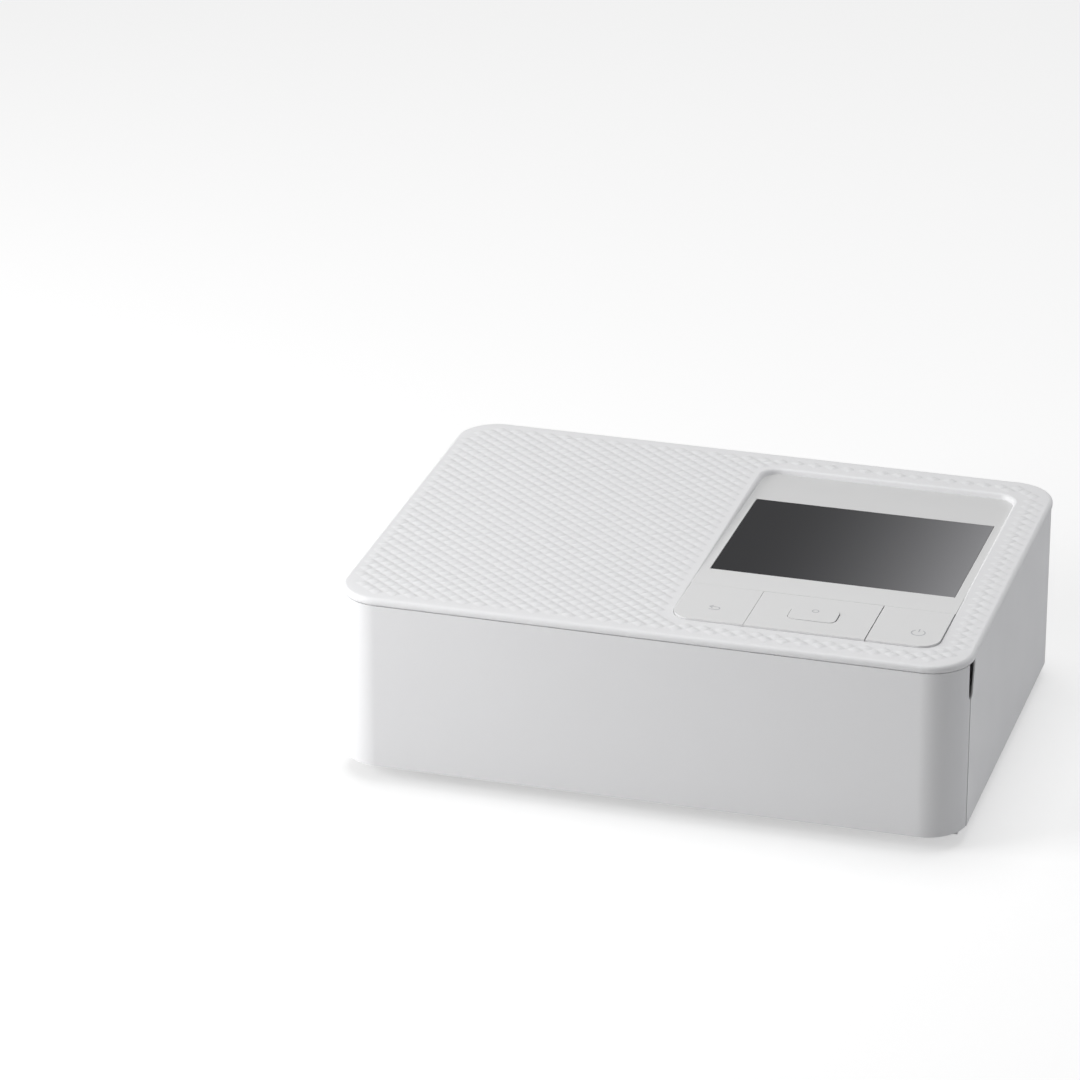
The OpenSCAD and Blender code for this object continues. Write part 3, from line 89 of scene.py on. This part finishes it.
# Share of the way from the edge of the recess to its foot, and how deep the edge is there: a round, then a wall
RECESS_PROFILE = ((0.0, 0.0), (0.28, 0.06), (0.52, 0.22), (0.7, 0.45), (0.8, 0.7), (1.0, 1.0))
CELL_X = 5.13
CELL_Y = 4.22
LOZENGE_H = 0.22
# Heights of a lozenge in shares of LOZENGE_H from the plain top: its corners and middle, then each loop between
# them as (share of the cell's size, height)
LOZENGE_SWING = 0.5
LOZENGE_LOOPS = ((0.88, -0.42), (0.68, 0.42))
# Width of the smooth rim, how far the texture takes to reach its full height, and the least room for a cell
SMOOTH_RIM = 0.5
RIM_FADE = 0.8
LEAST_ROOM = 0.2
# How far a filling face keeps off the recess's edge, and the tolerance of the filling
FILL_SLACK = 0.02
FILL_TOLERANCE = 1e-7

# Points closer than this are one point, in metres
MERGE = 1e-6

# Rounded edges: the angles are in degrees
FLAT_ANGLE = 0.4
SHARP_ANGLE = 30
SOFT_ANGLE = 60
SOFT_WIDTH = 0.55
SOFT_SEGMENTS = 4
EDGE_SEGMENTS = 2
# Least upward share of the normal of a top face, and least share of a side's normal along its direction
UPWARD = 0.9
FACING = 0.7
SMOOTH_ANGLE = 35
COVER_SMOOTH_ANGLE = 50
GROW_Z = 55.2
GROW_FADE = 7.0
GROW_REACH = 0.3

# Painted reflection across the display window and painted shade along the panel, each as a colour run between two
# places
DISPLAY_REFLECTION_X = (7, 80)
DISPLAY_REFLECTION_CURVE = 2.4
DISPLAY_REFLECTION_DARK_SHARE = 0.5
DISPLAY_REFLECTION_BRIGHT = (0.30, 0.30, 0.31)
PANEL_SHADE_Y = (-30, 50)
PANEL_SHADE_SHARES = (0.9, 0.8)

# Key symbols: width and height of the strokes, and where their middles are
SYMBOL_WIDTH = 0.34
OK_SYMBOL_WIDTH = 0.3
SYMBOL_PROUD = 0.03
POWER_AT = (73.4, -46.2)
BACK_AT = (15.0, -46.0)
OK_AT = (42.8, -40.4)

# Room: FLOOR_HALF and CLIP_END are in metres
CLIP_END = 50
FLOOR_HALF = 6.0
FLOOR_Z = -0.05
FLOOR_GREY = 0.6
FLOOR_GLOW = 0.5
SKY_LIGHT = 0.24
SKY_SEEN = 1.0

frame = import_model()
NODES = frame["nodes"]
RECORD = frame["record"]
SLOT_OF = {part["node"]: part["material_slot"] for part in RECORD["subparts"]}
BODY_OF = {node: body for body, nodes in RECORD["behaviour"]["bodies"].items() for node in nodes}


def mm_box(node):
    """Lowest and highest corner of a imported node, in millimetres."""
    low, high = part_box(node)
    return low / MM, high / MM


# ---- materials ----

def new_material(name):
    mat = bpy.data.materials.new(name)
    mat.use_nodes = True
    tree = mat.node_tree
    shader = tree.nodes["Principled BSDF"]
    place = tree.nodes.new("ShaderNodeTexCoord").outputs["Object"]
    return mat, tree, shader, place


def noise(tree, place, scale, detail=3.0, roughness=0.55, stretch=(1, 1, 1)):
    """A noise texture whose scale is features per metre, stretched along the axes."""
    mapping = tree.nodes.new("ShaderNodeMapping")
    mapping.inputs["Scale"].default_value = stretch
    tree.links.new(place, mapping.inputs["Vector"])
    tex = tree.nodes.new("ShaderNodeTexNoise")
    tex.inputs["Scale"].default_value = scale
    tex.inputs["Detail"].default_value = detail
    tex.inputs["Roughness"].default_value = roughness
    tree.links.new(mapping.outputs["Vector"], tex.inputs["Vector"])
    return tex.outputs["Fac"]


def ramp(tree, value, low, high, out_low, out_high):
    node = tree.nodes.new("ShaderNodeMapRange")
    node.inputs["From Min"].default_value = low
    node.inputs["From Max"].default_value = high
    node.inputs["To Min"].default_value = out_low
    node.inputs["To Max"].default_value = out_high
    tree.links.new(value, node.inputs["Value"])
    return node.outputs["Result"]


def blend_colors(tree, value, a, b):
    mix = tree.nodes.new("ShaderNodeMix")
    mix.data_type = "RGBA"
    mix.inputs["A"].default_value = (*a, 1)
    mix.inputs["B"].default_value = (*b, 1)
    tree.links.new(value, mix.inputs["Factor"])
    return mix.outputs["Result"]


def math_node(tree, operation, first, second, clamp=False):
    """The result of an operation on an output and a second output or number."""
    node = tree.nodes.new("ShaderNodeMath")
    node.operation = operation
    node.use_clamp = clamp
    tree.links.new(first, node.inputs[0])
    if isinstance(second, float):
        node.inputs[1].default_value = second
    else:
        tree.links.new(second, node.inputs[1])
    return node.outputs[0]


def along_axis(tree, place, axis, span):
    """0 to 1 over a span of the object's axis."""
    split = tree.nodes.new("ShaderNodeSeparateXYZ")
    tree.links.new(place, split.inputs["Vector"])
    return ramp(tree, split.outputs[axis], span[0] * MM, span[1] * MM, 0, 1)


def bump(tree, shader, height, distance):
    node = tree.nodes.new("ShaderNodeBump")
    node.inputs["Distance"].default_value = distance * MM
    node.inputs["Strength"].default_value = 1.0
    tree.links.new(height, node.inputs["Height"])
    tree.links.new(node.outputs["Normal"], shader.inputs["Normal"])


def shade(color, share):
    return tuple(min(1.0, channel * share) for channel in color)


def moulded(name, color, roughness, grain=0.35, depth=0.012, drift=0.03, gloss=0.5):
    """Moulded plastic: a fine spark-eroded grain, slow drift of the colour and of the gloss."""
    mat, tree, shader, place = new_material(name)
    slow = noise(tree, place, 28, 4)
    tree.links.new(blend_colors(tree, slow, shade(color, 1 - drift), shade(color, 1 + drift)),
                   shader.inputs["Base Color"])
    patch = noise(tree, place, 90, 3)
    tree.links.new(ramp(tree, patch, 0.3, 0.7, roughness - 0.05, roughness + 0.05), shader.inputs["Roughness"])
    bump(tree, shader, noise(tree, place, 1000 / grain, 2), depth)
    shader.inputs["Specular IOR Level"].default_value = gloss
    return mat


def panel(name, color):
    """Smooth moulding of the control panel, a little greyer behind the display than at the keys: painted shade for the
    darker surroundings that the panel reflects there.
    """
    mat, tree, shader, place = new_material(name)
    # Painted shade: the colour darkens from the keys towards the back of the panel
    back = along_axis(tree, place, "Y", PANEL_SHADE_Y)
    slow = ramp(tree, noise(tree, place, 28, 4), 0.3, 0.7, -0.03, 0.03)
    at_keys, shaded_back = (shade(color, share) for share in PANEL_SHADE_SHARES)
    tree.links.new(blend_colors(tree, math_node(tree, "ADD", back, slow), at_keys, shaded_back),
                   shader.inputs["Base Color"])
    tree.links.new(ramp(tree, noise(tree, place, 90), 0.3, 0.7, 0.32, 0.42), shader.inputs["Roughness"])
    bump(tree, shader, noise(tree, place, 4000, 2), 0.004)
    return mat


def brushed(name, color, roughness, stretch=(1, 30, 30), depth=0.006):
    """Rolled or turned metal with lines across the stretched axes."""
    mat, tree, shader, place = new_material(name)
    lines = noise(tree, place, 260, 5, 0.6, stretch)
    tree.links.new(blend_colors(tree, lines, shade(color, 0.88), shade(color, 1.08)), shader.inputs["Base Color"])
    tree.links.new(ramp(tree, lines, 0.25, 0.75, roughness - 0.08, roughness + 0.1), shader.inputs["Roughness"])
    shader.inputs["Metallic"].default_value = 1.0
    bump(tree, shader, lines, depth)
    return mat


def rubber(name, color):
    mat, tree, shader, place = new_material(name)
    dust = noise(tree, place, 150, 6, 0.7)
    tree.links.new(blend_colors(tree, dust, shade(color, 0.8), shade(color, 1.9)), shader.inputs["Base Color"])
    tree.links.new(ramp(tree, dust, 0.3, 0.7, 0.62, 0.85), shader.inputs["Roughness"])
    bump(tree, shader, noise(tree, place, 2500, 2), 0.02)
    return mat


def circuit_board(name, color):
    """Solder mask with copper tracks that run square to each other under it."""
    mat, tree, shader, place = new_material(name)
    brick = tree.nodes.new("ShaderNodeTexBrick")
    brick.inputs["Scale"].default_value = 240
    brick.inputs["Mortar Size"].default_value = 0.03
    brick.inputs["Color1"].default_value = (*shade(color, 0.8), 1)
    brick.inputs["Color2"].default_value = (*shade(color, 1.25), 1)
    brick.inputs["Mortar"].default_value = (*shade(color, 2.2), 1)
    tree.links.new(place, brick.inputs["Vector"])
    tree.links.new(brick.outputs["Color"], shader.inputs["Base Color"])
    tree.links.new(ramp(tree, noise(tree, place, 400), 0.3, 0.7, 0.3, 0.45), shader.inputs["Roughness"])
    bump(tree, shader, brick.outputs["Fac"], 0.02)
    return mat


def film(name, color):
    """Dyed ribbon film in tight turns."""
    mat, tree, shader, place = new_material(name)
    turns = noise(tree, place, 900, 4, 0.7, (0.05, 1, 1))
    tree.links.new(blend_colors(tree, turns, shade(color, 0.75), shade(color, 1.25)), shader.inputs["Base Color"])
    tree.links.new(ramp(tree, turns, 0.3, 0.7, 0.16, 0.3), shader.inputs["Roughness"])
    bump(tree, shader, turns, 0.01)
    return mat


def display(name, color):
    """Smoky, hard-coated display window with a painted reflection: darker to the left, lighter to the right."""
    mat, tree, shader, place = new_material(name)
    # Painted reflection: the window's colour runs from dark at the left to light at the right
    painted_reflection = math_node(tree, "POWER", along_axis(tree, place, "X", DISPLAY_REFLECTION_X), DISPLAY_REFLECTION_CURVE)
    tree.links.new(blend_colors(tree, painted_reflection, shade(color, DISPLAY_REFLECTION_DARK_SHARE), DISPLAY_REFLECTION_BRIGHT),
                   shader.inputs["Base Color"])
    tree.links.new(ramp(tree, noise(tree, place, 60, 4), 0.3, 0.7, 0.05, 0.11), shader.inputs["Roughness"])
    shader.inputs["IOR"].default_value = 1.12
    shader.inputs["Specular IOR Level"].default_value = 0.3
    return mat


def material_for(slot):
    color = next(m["base_color"] for m in RECORD["materials"] if m["slot"] == slot)
    if slot == "rubber":
        return rubber(slot, color)
    if slot == "circuit_board":
        return circuit_board(slot, color)
    if slot == "ribbon_film":
        return film(slot, color)
    if slot == "dark_gloss":
        return display(slot, color)
    if slot == "steel":
        return brushed(slot, color, 0.34)
    if slot == "aluminium":
        return brushed(slot, color, 0.3, (1, 60, 60))
    if slot == "brass":
        return brushed(slot, color, 0.28, (30, 1, 1))
    if slot == "ceramic":
        return moulded(slot, color, 0.2, grain=0.2, depth=0.004, gloss=0.7)
    if slot == "gear_plastic":
        return moulded(slot, color, 0.38, grain=0.3, depth=0.008)
    if slot == "white_plastic":
        return moulded(slot, color, 0.46, grain=0.3, depth=0.010, drift=0.008)
    if slot == "panel_plastic":
        return panel(slot, color)
    return moulded(slot, color, 0.5, grain=0.35, depth=0.014)


MATERIALS = {m["slot"]: material_for(m["slot"]) for m in RECORD["materials"]}
for node_name, node_object in NODES.items():
    node_object.data.materials.clear()
    node_object.data.materials.append(MATERIALS[SLOT_OF[node_name]])


# ---- mesh helpers ----

def new_object(name, data):
    piece = bpy.data.objects.new(name, data)
    bpy.context.scene.collection.objects.link(piece)
    return piece


def mesh_piece(name, points, faces, body, slot, replaced=(), smooth_angle=SMOOTH_ANGLE):
    """Makes an object of points in millimetres, gives it its slot's material and lets it ride on its body."""
    mesh = bpy.data.meshes.new(name)
    mesh.from_pydata([[c * MM for c in p] for p in points], [], faces)
    finish_piece(name, mesh, body, slot, replaced, smooth_angle)


def finish_piece(name, mesh, body, slot, replaced=(), smooth_angle=SMOOTH_ANGLE):
    mesh.validate()
    mesh.shade_smooth()
    mesh.set_sharp_from_angle(angle=radians(smooth_angle))
    mesh.materials.clear()
    mesh.materials.append(MATERIALS[slot])
    piece = new_object(name, mesh)
    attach(piece, body)
    if replaced:
        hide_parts(*replaced)
    return piece


def bevel(bm, edges, width, segments):
    bmesh.ops.bevel(bm, geom=edges, offset=width * MM, offset_type="OFFSET", segments=segments, profile=0.5,
                    affect="EDGES", clamp_overlap=True)


def dressed(node, width, grow=(), soft=(), soft_width=SOFT_WIDTH):
    """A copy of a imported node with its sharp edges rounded, which stands for the node.

    soft lists directions: the upper edges that face one of them get a wider round of soft_width.

    grow lists (axis, place of the side, shift): above GROW_Z the side moves by the shift, so that a gap narrows
    towards what the photograph shows. The shift fades out over GROW_FADE inwards of the side.
    """
    bm = bmesh.new()
    bm.from_mesh(NODES[node].data)
    bmesh.ops.remove_doubles(bm, verts=bm.verts, dist=MERGE)
    bmesh.ops.dissolve_limit(bm, angle_limit=radians(FLAT_ANGLE), verts=bm.verts, edges=bm.edges)
    wide = []
    for edge in bm.edges:
        if soft and edge.is_manifold and edge.calc_face_angle() > radians(SOFT_ANGLE):
            side, up = sorted((face.normal for face in edge.link_faces), key=lambda n: n.z)
            if up.z > UPWARD and any(side.dot(Vector(d)) > FACING for d in soft):
                wide.append(edge)
    if wide:
        bevel(bm, wide, soft_width, SOFT_SEGMENTS)
    sharp = [e for e in bm.edges if e.is_manifold and e.calc_face_angle() > radians(SHARP_ANGLE)]
    bevel(bm, sharp, width, EDGE_SEGMENTS)
    for vert in bm.verts:
        shift = Vector()
        for axis, side, by in grow:
            inward = (side * MM - vert.co[axis]) * (1 if by > 0 else -1)
            if vert.co.z > GROW_Z * MM and inward > -GROW_REACH * MM:
                shift[axis] += by * MM * max(0.0, 1 - max(inward, 0) / (GROW_FADE * MM))
        vert.co += shift
    bmesh.ops.recalc_face_normals(bm, faces=bm.faces)
    mesh = bpy.data.meshes.new(node + "_dressed")
    bm.to_mesh(mesh)
    bm.free()
    piece = finish_piece(node + "_dressed", mesh, BODY_OF[node], SLOT_OF[node], [node])
    piece.modifiers.new("flat_faces", "WEIGHTED_NORMAL").keep_sharp = True


CORNER_STEPS = 12
SIDE_POINTS = 9


def round_corners(x0, x1, y0, y1, r):
    """Points of the corners of a rectangle, counter-clockwise, each with its outward direction."""
    points = []
    for cx, cy, start in ((x1 - r, y1 - r, 0), (x0 + r, y1 - r, 90), (x0 + r, y0 + r, 180), (x1 - r, y0 + r, 270)):
        for i in range(CORNER_STEPS + 1):
            a = radians(start + 90 * i / CORNER_STEPS)
            points.append((cx + r * cos(a), cy + r * sin(a), cos(a), sin(a)))
    return points


def inset_outline(x0, x1, y0, y1, r, inset):
    """Outline of a rectangle with round corners, moved inwards."""
    return [p[:2] for p in round_corners(x0 + inset, x1 - inset, y0 + inset, y1 - inset, r - inset)]


def recess_outline(*rectangle):
    """The corners' points and directions, with SIDE_POINTS more along each side."""
    points = round_corners(*rectangle)
    full = []
    for k, (x, y, nx, ny) in enumerate(points):
        full.append((x, y, nx, ny))
        if k % (CORNER_STEPS + 1) == CORNER_STEPS:
            ex, ey = points[(k + 1) % len(points)][:2]
            for i in range(1, SIDE_POINTS + 1):
                t = i / (SIDE_POINTS + 1)
                full.append((x + (ex - x) * t, y + (ey - y) * t, nx, ny))
    return full


def top_plane(node):
    """Height of a node's largest upward face at a place, as a function of x and y in millimetres."""
    mesh = NODES[node].data
    face = max((f for f in mesh.polygons if f.normal.z > UPWARD), key=lambda f: f.area)
    at, up = face.center / MM, face.normal
    return lambda x, y: at.z - ((x - at.x) * up.x + (y - at.y) * up.y) / up.z


def depth_inside(p, x0, x1, y0, y1, r):
    """Distance of a point from the outline of a rectangle with round corners, positive inside."""
    qx = abs(p[0] - (x0 + x1) / 2) - (x1 - x0) / 2 + r
    qy = abs(p[1] - (y0 + y1) / 2) - (y1 - y0) / 2 + r
    return r - hypot(max(qx, 0), max(qy, 0)) - min(max(qx, qy), 0)


def smoothstep(x):
    x = max(0.0, min(1.0, x))
    return x * x * (3 - 2 * x)


# ---- top cover ----

def half_cell(i, j):
    """Place of a point of the lattice, which is counted in half cells."""
    return i * CELL_X / 2, j * CELL_Y / 2


def top_cover():
    """The cover with its texture and the edge of the recess; its underside is plain."""
    (x0, y0, _), (x1, y1, top) = mm_box("top_cover")
    under = mm_box("side_shell")[1].z
    (px0, py0, _), (px1, py1, _) = mm_box("control_panel")
    px0, px1, py0, py1 = px0 + PANEL_FLANGE, px1 - PANEL_FLANGE, py0 + PANEL_FLANGE, py1 - PANEL_FLANGE
    panel_z = top_plane("control_panel")
    outer = (x0, x1, y0, y1, CORNER_R)
    hole = (px0, px1, py0, py1, PANEL_R)
    points, faces = [], []

    def ring(outline, z):
        first = len(points)
        points.extend((x, y, z) for x, y in outline)
        return list(range(first, len(points)))

    def bridge(a, b, flip=False):
        n = len(a)
        for i in range(n):
            j = (i + 1) % n
            face = (a[i], a[j], b[j], b[i])
            faces.append(face[::-1] if flip else face)

    # Outer skirt from below, then the rounded upper edge
    rings = [ring(inset_outline(*outer, SKIRT_EDGE), under), ring(inset_outline(*outer, 0.0), under + SKIRT_EDGE)]
    for i in range(EDGE_STEPS + 1):
        a = radians(90 * i / EDGE_STEPS)
        rings.append(ring(inset_outline(*outer, EDGE_R * (1 - cos(a))), top - EDGE_R * (1 - sin(a))))
    for a, b in zip(rings, rings[1:]):
        bridge(a, b)
    top_outer = rings[-1]

    # Edge of the recess: it slopes down onto the sunk part of the panel, and is a small round at the keys
    def sunk(y):
        return max(RECESS_LEAST, top - panel_z(px0, y) + RECESS_BELOW)

    def deepness(y):
        return min(1.0, (sunk(y) - RECESS_LEAST) / RECESS_DEEPENING)

    def recess_top(y):
        """How far the rounded edge of the recess reaches out from the panel's outline."""
        return RECESS_EDGE + (RECESS_R - RECESS_WALL - RECESS_EDGE) * deepness(y)

    inner = []
    for share, drop in RECESS_PROFILE:
        first = len(points)
        for x, y, nx, ny in recess_outline(*hole):
            deep = deepness(y)
            beside_key = nx > RIGHTWARD and deep < SHALLOW
            foot = (RECESS_FOOT_KEY if beside_key else RECESS_FOOT) + RECESS_WALL * deep
            out = recess_top(y) - (recess_top(y) + foot) * share
            fall = min(drop * RECESS_R, sunk(y)) if drop < 1 else sunk(y)
            points.append((x + nx * out, y + ny * out, top - (fall * deep + sunk(y) * drop ** 2 * (1 - deep))))
        inner.append(list(range(first, len(points))))
    first = len(points)
    points.extend((x, y, under) for x, y, _, _ in recess_outline(*hole))
    inner.append(list(range(first, len(points))))
    for a, b in zip(inner, inner[1:]):
        bridge(a, b, flip=True)
    top_inner = inner[0]
    under_outer, under_inner = rings[0], inner[-1]

    # Raised lozenges: the rhombic cells tile the plane, and each has a slope and a slightly domed top
    def room(p):
        return min(depth_inside(p, *outer) - EDGE_R, -depth_inside(p, *hole) - RECESS_R)

    grid = {}

    def corner(i, j):
        """The shared point of the lattice of cell corners, in half cells."""
        if (i, j) not in grid:
            grid[(i, j)] = len(points)
            spot = half_cell(i, j)
            points.append((*spot, top - LOZENGE_SWING * LOZENGE_H * lift(spot)))
        return grid[(i, j)]

    def lift(p):
        return smoothstep((room(p) - SMOOTH_RIM) / RIM_FADE)

    border = {}
    cell_centres = set()
    columns = range(int(x0 / CELL_X * 2) - 1, int(x1 / CELL_X * 2) + 2)
    lines = range(int(y0 / CELL_Y * 2) - 1, int(y1 / CELL_Y * 2) + 2)
    for i in columns:
        for j in lines:
            if (i + j) % 2:
                continue
            spots = [(i + 1, j), (i, j + 1), (i - 1, j), (i, j - 1)]
            if min(room(half_cell(a, b)) for a, b in spots) < LEAST_ROOM:
                continue
            cell_centres.add((i, j))
            rim = [corner(a, b) for a, b in spots]
            center = half_cell(i, j)
            loops = [rim]
            for share, height in LOZENGE_LOOPS:
                loop = []
                for a, b in spots:
                    x = center[0] + (a * CELL_X / 2 - center[0]) * share
                    y = center[1] + (b * CELL_Y / 2 - center[1]) * share
                    loop.append(len(points))
                    points.append((x, y, top + height * LOZENGE_H * lift((x, y))))
                loops.append(loop)
            for a, b in zip(loops, loops[1:]):
                bridge(a, b)
            middle = len(points)
            points.append((*center, top + LOZENGE_SWING * LOZENGE_H * lift(center)))
            for k in range(4):
                faces.append((loops[-1][k], loops[-1][(k + 1) % 4], middle))
                edge = (rim[k], rim[(k + 1) % 4])
                if edge[::-1] in border:
                    del border[edge[::-1]]
                else:
                    border[edge] = True

    # The plain strips between the lozenges and the smooth edges
    def fill(loops, keep, flip=False):
        used = sorted({v for loop in loops for edge in loop for v in edge})
        spot = {v: k for k, v in enumerate(used)}
        flat = [Vector(points[v][:2]) for v in used]
        edges = [(spot[a], spot[b]) for loop in loops for a, b in loop]
        found, _, cells, origin, _, _ = delaunay_2d_cdt(flat, edges, [], 0, FILL_TOLERANCE)
        back = [used[o[0]] if o else None for o in origin]
        for cell in cells:
            x = sum(found[v].x for v in cell) / len(cell)
            y = sum(found[v].y for v in cell) / len(cell)
            if keep((x, y)):
                face = tuple(back[v] for v in cell)
                faces.append(face[::-1] if flip else face)

    def closed(ring_of):
        return list(zip(ring_of, ring_of[1:] + ring_of[:1]))

    def in_lattice(p):
        i, j = p[0] / CELL_X * 2, p[1] / CELL_Y * 2
        # In half sums and half differences the cells are squares round whole numbers
        s, t = round((i + j) / 2), round((i - j) / 2)
        return (s + t, s - t) in cell_centres

    fill([closed(top_outer), closed(top_inner), list(border)],
         lambda p: depth_inside(p, *outer) > EDGE_R and not in_lattice(p)
         and depth_inside(p, *hole) < FILL_SLACK - recess_top(p[1]))
    fill([closed(under_outer), closed(under_inner)],
         lambda p: depth_inside(p, *outer) > SKIRT_EDGE and depth_inside(p, *hole) < 0, flip=True)
    mesh_piece("top_cover_textured", points, faces, "root", "white_plastic", ["top_cover"], COVER_SMOOTH_ANGLE)


top_cover()


# ---- shells and keys with rounded edges ----

X, Y = 0, 1
LEFT, RIGHT, AHEAD = (-1, 0, 0), (1, 0, 0), (0, -1, 0)
dressed("front_cover", 0.14, (), [LEFT, RIGHT, AHEAD])
for shell, width in (("side_shell", 0.14), ("ink_door", 0.16), ("lcd_glass", 0.1),
                     ("front_bezel", 0.25), ("paper_bay", 0.2), ("rubber_feet", 0.3), ("dc_jack", 0.15),
                     ("entry_guide", 0.15), ("exit_guide", 0.15), ("ink_cassette", 0.2), ("head_bracket", 0.12)):
    dressed(shell, width)

deck = mm_box("nav_pad")[1].y
back_x1 = mm_box("back_key")[1].x
dressed("control_panel", 0.06)
dressed("back_key", 0.1, [(X, back_x1, 0.09), (Y, deck, 0.22)], [LEFT, AHEAD])
dressed("nav_pad", 0.1, [(X, mm_box("nav_pad")[0].x, -0.09), (Y, deck, 0.16)], [AHEAD])
dressed("power_key", 0.1, [(Y, deck, 0.22)], [AHEAD])
ok_low, ok_high = mm_box("ok_key")
dressed("ok_key", 0.1, [(X, ok_low.x, -0.12), (Y, ok_high.y, 0.12), (Y, ok_low.y, -0.12)], [LEFT, AHEAD], 0.2)


def symbol(name, node, center, strokes, width=SYMBOL_WIDTH):
    """A printed symbol: each stroke is a line of points about the centre, as a thin closed strip on the node's top."""
    height = top_plane(node)
    points, faces = [], []
    for stroke in strokes:
        spots = [Vector(center) + Vector(p) for p in stroke]
        first = len(points)
        for k, spot in enumerate(spots):
            along = (spots[min(k + 1, len(spots) - 1)] - spots[max(k - 1, 0)]).normalized() * width / 2
            for side, up in ((1, 0), (-1, 0), (-1, 1), (1, 1)):
                x, y = spot.x - along.y * side, spot.y + along.x * side
                points.append((x, y, height(x, y) + (SYMBOL_PROUD if up else -SYMBOL_PROUD)))
        for k in range(len(spots) - 1):
            a = first + 4 * k
            faces += [(a + i, a + (i + 1) % 4, a + 4 + (i + 1) % 4, a + 4 + i) for i in range(4)]
        last = len(points) - 4
        faces += [(first + 3, first + 2, first + 1, first), (last, last + 1, last + 2, last + 3)]
    mesh_piece(name, points, faces, BODY_OF[node], "grey_plastic")


def arc(radius, start, stop, steps=20, at=(0, 0)):
    angles = [radians(start + (stop - start) * i / steps) for i in range(steps + 1)]
    return [(at[0] + radius * cos(a), at[1] + radius * sin(a)) for a in angles]


symbol("power_symbol", "power_key", POWER_AT, [arc(1.9, 125, 415), [(0, 0.5), (0, 2.5)]])
symbol("back_symbol", "back_key", BACK_AT,
       [[(-1.3, -1.1), (0.7, -1.1)] + arc(0.9, -75, 75, 10, (0.7, -0.2)) + [(0.6, 0.7), (-1.3, 0.7)],
        [(-0.5, 1.6), (-1.5, 0.7), (-0.5, -0.2)]])
symbol("ok_symbol", "ok_key", OK_AT, [arc(0.9, 0, 360, 24)], OK_SYMBOL_WIDTH)


# ---- room, light and camera ----

def floor():
    mesh = bpy.data.meshes.new("floor")
    half, z = FLOOR_HALF, FLOOR_Z * MM
    mesh.from_pydata([(-half, -half, z), (half, -half, z), (half, half, z), (-half, half, z)], [], [(0, 1, 2, 3)])
    piece = new_object("floor", mesh)
    mat = bpy.data.materials.new("floor")
    mat.use_nodes = True
    tree = mat.node_tree
    shader = tree.nodes["Principled BSDF"]
    shader.inputs["Base Color"].default_value = (FLOOR_GREY, FLOOR_GREY, FLOOR_GREY, 1)
    shader.inputs["Roughness"].default_value = 0.9
    shader.inputs["Specular IOR Level"].default_value = 0.0
    shader.inputs["Emission Color"].default_value = (1, 1, 1, 1)
    path = tree.nodes.new("ShaderNodeLightPath")
    tree.links.new(math_node(tree, "MULTIPLY", seen_rays(tree, path), FLOOR_GLOW), shader.inputs["Emission Strength"])
    mesh.materials.append(mat)


def seen_rays(tree, path):
    """1 for camera, glossy and transmission rays, 0 for the rays that light the object."""
    total = path.outputs["Is Camera Ray"]
    for name in ("Is Glossy Ray", "Is Transmission Ray"):
        total = math_node(tree, "ADD", total, path.outputs[name], clamp=True)
    return total


def world():
    sky = bpy.data.worlds.new("studio")
    bpy.context.scene.world = sky
    sky.use_nodes = True
    tree = sky.node_tree
    background = tree.nodes["Background"]
    background.inputs["Color"].default_value = (1, 1, 1, 1)
    path = tree.nodes.new("ShaderNodeLightPath")
    tree.links.new(ramp(tree, seen_rays(tree, path), 0, 1, SKY_LIGHT, SKY_SEEN), background.inputs["Strength"])


def area_light(name, spot, aim, size, power, color=(1, 1, 1)):
    lamp = bpy.data.lights.new(name, "AREA")
    lamp.shape = "RECTANGLE"
    lamp.size, lamp.size_y = size
    lamp.energy = power
    lamp.color = color
    piece = new_object(name, lamp)
    piece.location = spot
    piece.rotation_euler = (Vector(aim) - Vector(spot)).to_track_quat("-Z", "Y").to_euler()


def camera():
    az, el = radians(CAMERA_AZIMUTH), radians(CAMERA_ELEVATION)
    target = Vector(CAMERA_TARGET) * MM
    away = Vector((sin(az) * cos(el), -cos(az) * cos(el), sin(el)))
    lens = bpy.data.cameras.new("camera")
    lens.sensor_width = SENSOR
    lens.lens = CAMERA_LENS
    lens.clip_end = CLIP_END
    piece = new_object("camera", lens)
    piece.location = target + away * CAMERA_DISTANCE * MM
    piece.rotation_euler = (-away).to_track_quat("-Z", "Y").to_euler()
    bpy.context.scene.camera = piece


floor()
world()
area_light("overhead", (0.0, 0.3, 1.8), (0, 0, 0.05), (1.2, 0.9), 13.0)
area_light("front_left", (-0.62, -0.36, 0.26), (0, -0.04, 0.03), (0.4, 0.4), 4.6)
area_light("right", (0.95, 0.05, 0.3), (0.05, 0, 0.03), (0.4, 0.4), 0.65, (0.88, 0.92, 1.0))
camera()
bpy.context.scene.view_settings.view_transform = "Standard"
